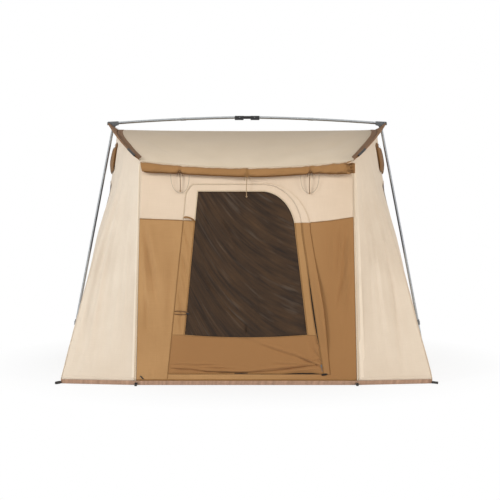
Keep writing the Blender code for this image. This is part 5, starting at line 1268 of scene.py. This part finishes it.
def build_awning():
    """The awning rolled up on itself from its free edge, squeezed by its ties, its cloth wrinkled."""
    turns, angle = spiral(ROLL_TURNS, ROLL_CORE_SHARE, ROLL_STEPS)
    outer = ease(0.45, 0.9, np.linspace(0, 1, len(angle)))
    flattened = 1 - 0.05 * bell(np.mod(angle, 2 * math.pi), math.pi, 0.7)
    rings = []
    for x in np.linspace(ROLL_GIRTHS[0][0], ROLL_GIRTHS[-1][0] + 0.020, 190):
        radius, centre = roll_radius(x), roll_centre(x)
        squeeze = bell(min(abs(x - at) for at in TIE_PLACES), 0, 0.06)
        right = ease(0.50, 0.60, x)
        wrinkle = (0.030 + 0.05 * squeeze + 0.035 * right) * np.sin(2 * angle + 34 * x)
        wrinkle = wrinkle + (0.020 + 0.04 * squeeze + 0.05 * right) * np.sin(5 * angle - 88 * x + 2 * math.sin(9 * x))
        wrinkle = wrinkle + (0.012 + 0.03 * right) * np.sin(9 * angle + 143 * x)
        reach = radius * (flattened + wrinkle * outer)[:, None] * turns
        # The left end is cut on the slant, and the right end stands open to the front.
        slant = 0.016 * (1 - ease(-0.866, -0.80, x)) * (0.5 - reach[:, 1] / (2 * radius))
        opened = -0.062 * ease(0.79, 0.886, x) * np.clip(0.35 - reach[:, 0] / radius, 0, 1.35)
        rings.append(stack(x + slant + opened, centre[1] + reach[:, 0], centre[2] + ROLL_TALL * reach[:, 1]))
    roll = skin("awning_cloth", rings, ROLLED, around=False, thickness=WEBBING)
    dress(roll, "awning_roll", slot="tan_canvas")

    # The roll's free edge, drawn as a dark strip low on its front: painted shade under the roll.
    hem = [on_roll(x, ROLL_HEM_TURN + 0.10 * math.sin(7 * x), 0.0012) for x in np.linspace(-0.835, 0.815, 150)]
    out = np.array((0, -math.cos(ROLL_HEM_TURN), -math.sin(ROLL_HEM_TURN)))
    dress(strip("awning_hem_shadow", hem, out, 0.011, 0.0016, TAN_EDGE_SHADOW))

    wraps = ((-0.544, 0.008, ROLLED), (0.004, 0.020, TAN_SEAM), (0.517, 0.008, ROLLED))
    angles = circle(40)
    for number, (x, width, material) in enumerate(wraps):
        centre = roll_centre(x)
        ring = centre + (roll_radius(x) + 0.002) * stack(0, np.cos(angles), ROLL_TALL * np.sin(angles))
        wrap = strip(f"awning_wrap_{number}", ring, unit(ring - centre), width, 0.0016, material, loop=True)
        dress(wrap, slot="brown_canvas")


def knot(name, centre, radius, material):
    """An overhand knot: a trefoil of the same cord."""
    turn = circle(48)
    path = stack(np.sin(turn) + 2 * np.sin(2 * turn), -1.3 * np.sin(3 * turn), np.cos(turn) - 2 * np.cos(2 * turn))
    return dress(tube(name, centre + radius * 0.72 * path, radius, material, closed=True), slot="tie_cord")


def build_ties():
    """Tie cords hanging from the roll, and the elastic loops behind the two outer ones."""
    share, bend = np.linspace(0, 1, 24), np.linspace(0, 1, 14)
    leans = (0.003, -0.006, -0.004)
    for word, x, length, lean in zip(("left", "middle", "right"), TIE_PLACES, TIE_LENGTHS, leans):
        radius = roll_radius(x)
        start = roll_centre(x) + (0, -0.35 * radius, -0.94 * ROLL_TALL * radius - 0.002)
        route = start + stack(lean * np.sin(0.75 * math.pi * share), 0.35 * radius * share, -length * share)
        stuff = PALE_CORD if word == "middle" else TIE_CORD
        cord = dress(tube(f"awning_tie_cord_{word}", route, 0.0028, stuff), f"awning_tie_{word}", slot="tie_cord")
        ends = [knot(f"awning_tie_knot_{word}", route[-1] - (0, 0, 0.003), 0.0026, PALE_CORD),
                knot(f"awning_tie_bow_{word}", start + (0, -0.004, 0.002), 0.0030, stuff)]
        # An outer cord bites into the roll's front and runs down to its knot on both sides.
        for hand, way in (("near", -1), ("far", 1)) if word != "middle" else ():
            bite = [on_roll(x + way * 0.038 * step ** 1.3, mix(0.20, 1.25, step), 0.0016)
                    for step in np.linspace(0, 1, 12)]
            piece = tube(f"awning_tie_bite_{word}_{hand}", bite, 0.0026, TIE_CORD)
            ends.append(dress(piece, slot="tie_cord"))
        # The cord's short end, doubled beside the knot
        for hand, spread, drop in (("near", -0.022, 0.030), ("far", 0.024, 0.026)):
            tail = start + stack(spread * np.sin(0.5 * math.pi * bend), -0.006 - 0.006 * bend,
                                 0.012 * np.sin(math.pi * bend) - drop * bend ** 2)
            piece = tube(f"awning_tie_tail_{word}_{hand}", tail, 0.0022, stuff)
            ends.append(dress(piece, slot="tie_cord"))
    angle = np.linspace(0, math.pi, 60)
    drop = np.sin(angle) ** 0.8
    for word, x in (("left", TIE_PLACES[0]), ("right", TIE_PLACES[2])):
        places = [x + hand * LOOP_SPREAD for hand in (-1, 1)]
        ends = [roll_centre(place) - (0, -0.1 * roll_radius(place), ROLL_TALL * roll_radius(place) + 0.002)
                for place in places]
        route = mix(*ends, ((1 - np.cos(angle)) / 2)[:, None]) + stack(0, 0.004 * drop, -LOOP_DROP * drop)
        loop = tube(f"awning_loop_cord_{word}", route, 0.0016, ELASTIC)
        dress(loop, f"awning_loop_{word}", slot="elastic_cord")


# Floor tray and its loops

def build_floor():
    """The tray floor: coated cloth turned up into a low lip, slack and crumpled along its foot."""
    corners = []
    for side, end in ((-1, 1), (1, 1), (1, -1), (-1, -1)):
        corner, seam = (side * CORNER_OUT, -end * CORNER_DEPTH), (side * WALL_FOOT_HALF, -end * FRONT_FOOT)
        corners += [corner, seam] if side * end < 0 else [seam, corner]
    ring = spaced(corners, 0.012, closed=True)
    run = unit(np.roll(ring, -1, axis=0) - np.roll(ring, 1, axis=0))
    out = pairs(run[:, 1], -run[:, 0])
    place = np.arange(len(ring)) * 0.012
    local = bell(ring[:, 0], -0.22, 0.07) * (ring[:, 1] < 0)
    crumple = ripple(place, 0 * place, 0.16, 0.0026, 71) + ripple(place, 0 * place, 0.05, 0.0006, 72)
    crumple = crumple + local * 0.004 * np.sin(place * 2 * math.pi / 0.035)
    rings = []
    for grow, z, slack in ((-0.004, 0.0002, 0.2), (0.0012, 0.0016, 0.5), (0.0016, 0.008, 1.0), (0.0014, 0.016, 0.8),
                           (0.0016, 0.025, 0.6), (0.0014, 0.034, 0.15), (0.0, LIP_HEIGHT, 0.1), (-0.0014, 0.034, 0.1),
                           (-0.0014, 0.02, 0.4), (-0.0016, 0.008, 0.5), (-0.004, FLOOR_CLOTH, 0.2)):
        edge = ring + out * (grow + slack * crumple * (1 if grow > 0 else 0.5))[:, None]
        sway = 0.0012 * local * slack * np.sin(place * 2 * math.pi / 0.05)
        rings.append(stack(*edge.T, np.maximum(z + sway, 0.0002)))
    dress(skin("floor_tray_cloth", rings, GROUND), "floor_tray", slot="floor_cloth")

    places = []
    for side in (-1, 1):
        places.append((side * CORNER_OUT, 0, side, 0))
        for end in (-1, 1):
            places.append((side * CORNER_OUT, -end * CORNER_DEPTH, side, -end))
            places.append((side * WALL_FOOT_HALF, -end * FRONT_FOOT, 0, -end))
    arc = quarter((0.0185, 0), 0.0085, 0.0085, -90, 90, 9)
    oval = spaced(np.vstack((arc, -arc)), 0.006, closed=True)
    for number, (x, y, out_x, out_y) in enumerate(places):
        out = unit(np.array((out_x, out_y, 0.0)))
        centre = np.array((x, y, 0.0112)) + out * 0.0275
        path = centre + oval[:, :1] * out + oval[:, 1:] * np.array((-out[1], out[0], 0))
        path[:, 2] += 0.0012 * np.sin(circle(len(path)) + number)
        away = unit(path - centre * (1, 1, 0) - stack(0, 0, path[:, 2]))
        dress(strip(f"peg_loop_{number}", path, away, 0.019, WEBBING, BLACK_TAPE, loop=True))


# Steel frame and fittings, kept from the CAD with finer shading

def finish_frame():
    finishes = (
        (("ridge_inner_tube", "ridge_outer_tube", "leg_upper", "leg_lower", "leg_button"), GALVANISED, "pole_steel"),
        (("spring_bar",), SPRING_STEEL, "bar_steel"),
        (("ridge_end_fitting", "hub_pin", "leg_pin", "zip_slider"), CAST_ZINC, "cast_fitting"),
        (("ridge_hub", "leg_foot"), NYLON, "black_plastic"),
        (("leg_collar",), GREY_NYLON, "black_plastic"),
    )
    for prefixes, material, slot in finishes:
        for name, obj in CAD.items():
            if not name.startswith(prefixes):
                continue
            obj.data.materials.clear()
            obj.data.materials.append(material)
            obj.data.polygons.foreach_set("use_smooth", np.ones(len(obj.data.polygons), bool))
            obj.modifiers.new("weld", "WELD").merge_threshold = 0.0001
            obj.modifiers.new("edges", "EDGE_SPLIT").split_angle = math.radians(32)


# Stage

def seen_share(tree):
    """1 for rays that show the white room itself: to the camera, off a shiny surface or through a clear one."""
    rays = add_node(tree, "LightPath")
    seen = rays.outputs["Is Camera Ray"]
    for kind in ("Is Glossy Ray", "Is Transmission Ray"):
        seen = add_node(tree, "Math", {0: seen, 1: rays.outputs[kind]}, operation="MAXIMUM")
    return seen


def build_stage():
    """A pale floor that keeps a soft shadow and turns white with distance, soft light and the camera."""
    bpy.ops.mesh.primitive_plane_add(size=60, location=(0, 0, -0.0015))
    floor = bpy.context.object
    floor.name = "studio_floor"
    material, tree, shader, place = new_material("matte_white_paper", False, Roughness=0.95, Specular_IOR_Level=0.1,
                                                 Base_Color=linear("#F4F4F4"))
    white = add_node(tree, "Emission", {"Color": (1, 1, 1, 1), "Strength": 1.0})
    distance = add_node(tree, "VectorMath", {0: place}, operation="LENGTH").outputs["Value"]
    far = add_node(tree, "MapRange", {0: distance, 1: 1.6, 2: 2.6, 3: 0.80, 4: 1.0})
    share = add_node(tree, "Math", {0: far, 1: seen_share(tree)}, operation="MULTIPLY")
    mixed = add_node(tree, "MixShader", {0: share, 1: shader, 2: white})
    tree.links.new(mixed.outputs[0], tree.nodes["Material Output"].inputs["Surface"])
    floor.data.materials.append(material)

    world = bpy.data.worlds.new("soft_white_studio")
    bpy.context.scene.world = world
    world.use_nodes = True
    tree = world.node_tree
    tree.nodes.clear()
    ambient = add_node(tree, "Background", {"Color": (0.98, 0.99, 1.0, 1), "Strength": 0.36})
    backdrop = add_node(tree, "Background", {"Color": (1, 1, 1, 1), "Strength": 1.0})
    mixed = add_node(tree, "MixShader", {0: seen_share(tree), 1: ambient, 2: backdrop})
    add_node(tree, "OutputWorld", {"Surface": mixed})

    lamps = (("key_light", (-7.0, -7.0, 5.0), 2.5, 560, (0.94, 0.975, 1.0)),
             ("fill_light", (7.5, -6.5, 3.5), 3.0, 370, (1.0, 0.955, 0.89)),
             ("back_light", (2.5, 9.0, 4.5), 3.0, 330, (0.97, 0.985, 1.0)))
    for name, place, size, power, colour in lamps:
        lamp = bpy.data.lights.new(name, "AREA")
        lamp.shape, lamp.size, lamp.energy, lamp.color = "DISK", size, power, colour
        obj = new_object(name, lamp)
        obj.location = place
        obj.rotation_euler = (Vector((0, 0, 1.0)) - Vector(place)).to_track_quat("-Z", "Y").to_euler()
        obj.visible_camera = obj.visible_glossy = False

    camera = bpy.data.cameras.new("camera")
    camera.lens, camera.sensor_width, camera.clip_end = CAMERA_LENS, 36.0, 200
    eye = new_object("camera", camera)
    eye.location = CAMERA_PLACE
    eye.rotation_euler = (math.radians(90 - CAMERA_TILT), 0, 0)
    bpy.context.scene.camera = eye
    bpy.context.scene.view_settings.view_transform = "Standard"


build_roof()
for hand, sign in SIDES:
    build_side(hand, sign)
    build_apex_strap(hand, sign)
    for end_name, end_sign in ENDS:
        build_sleeve(hand, sign, end_name, end_sign)
build_front_wall()
build_storm_flap()
build_door()
build_zip()
build_tie_backs()
build_rear_wall()
build_awning()
build_ties()
build_floor()
finish_frame()
build_stage()
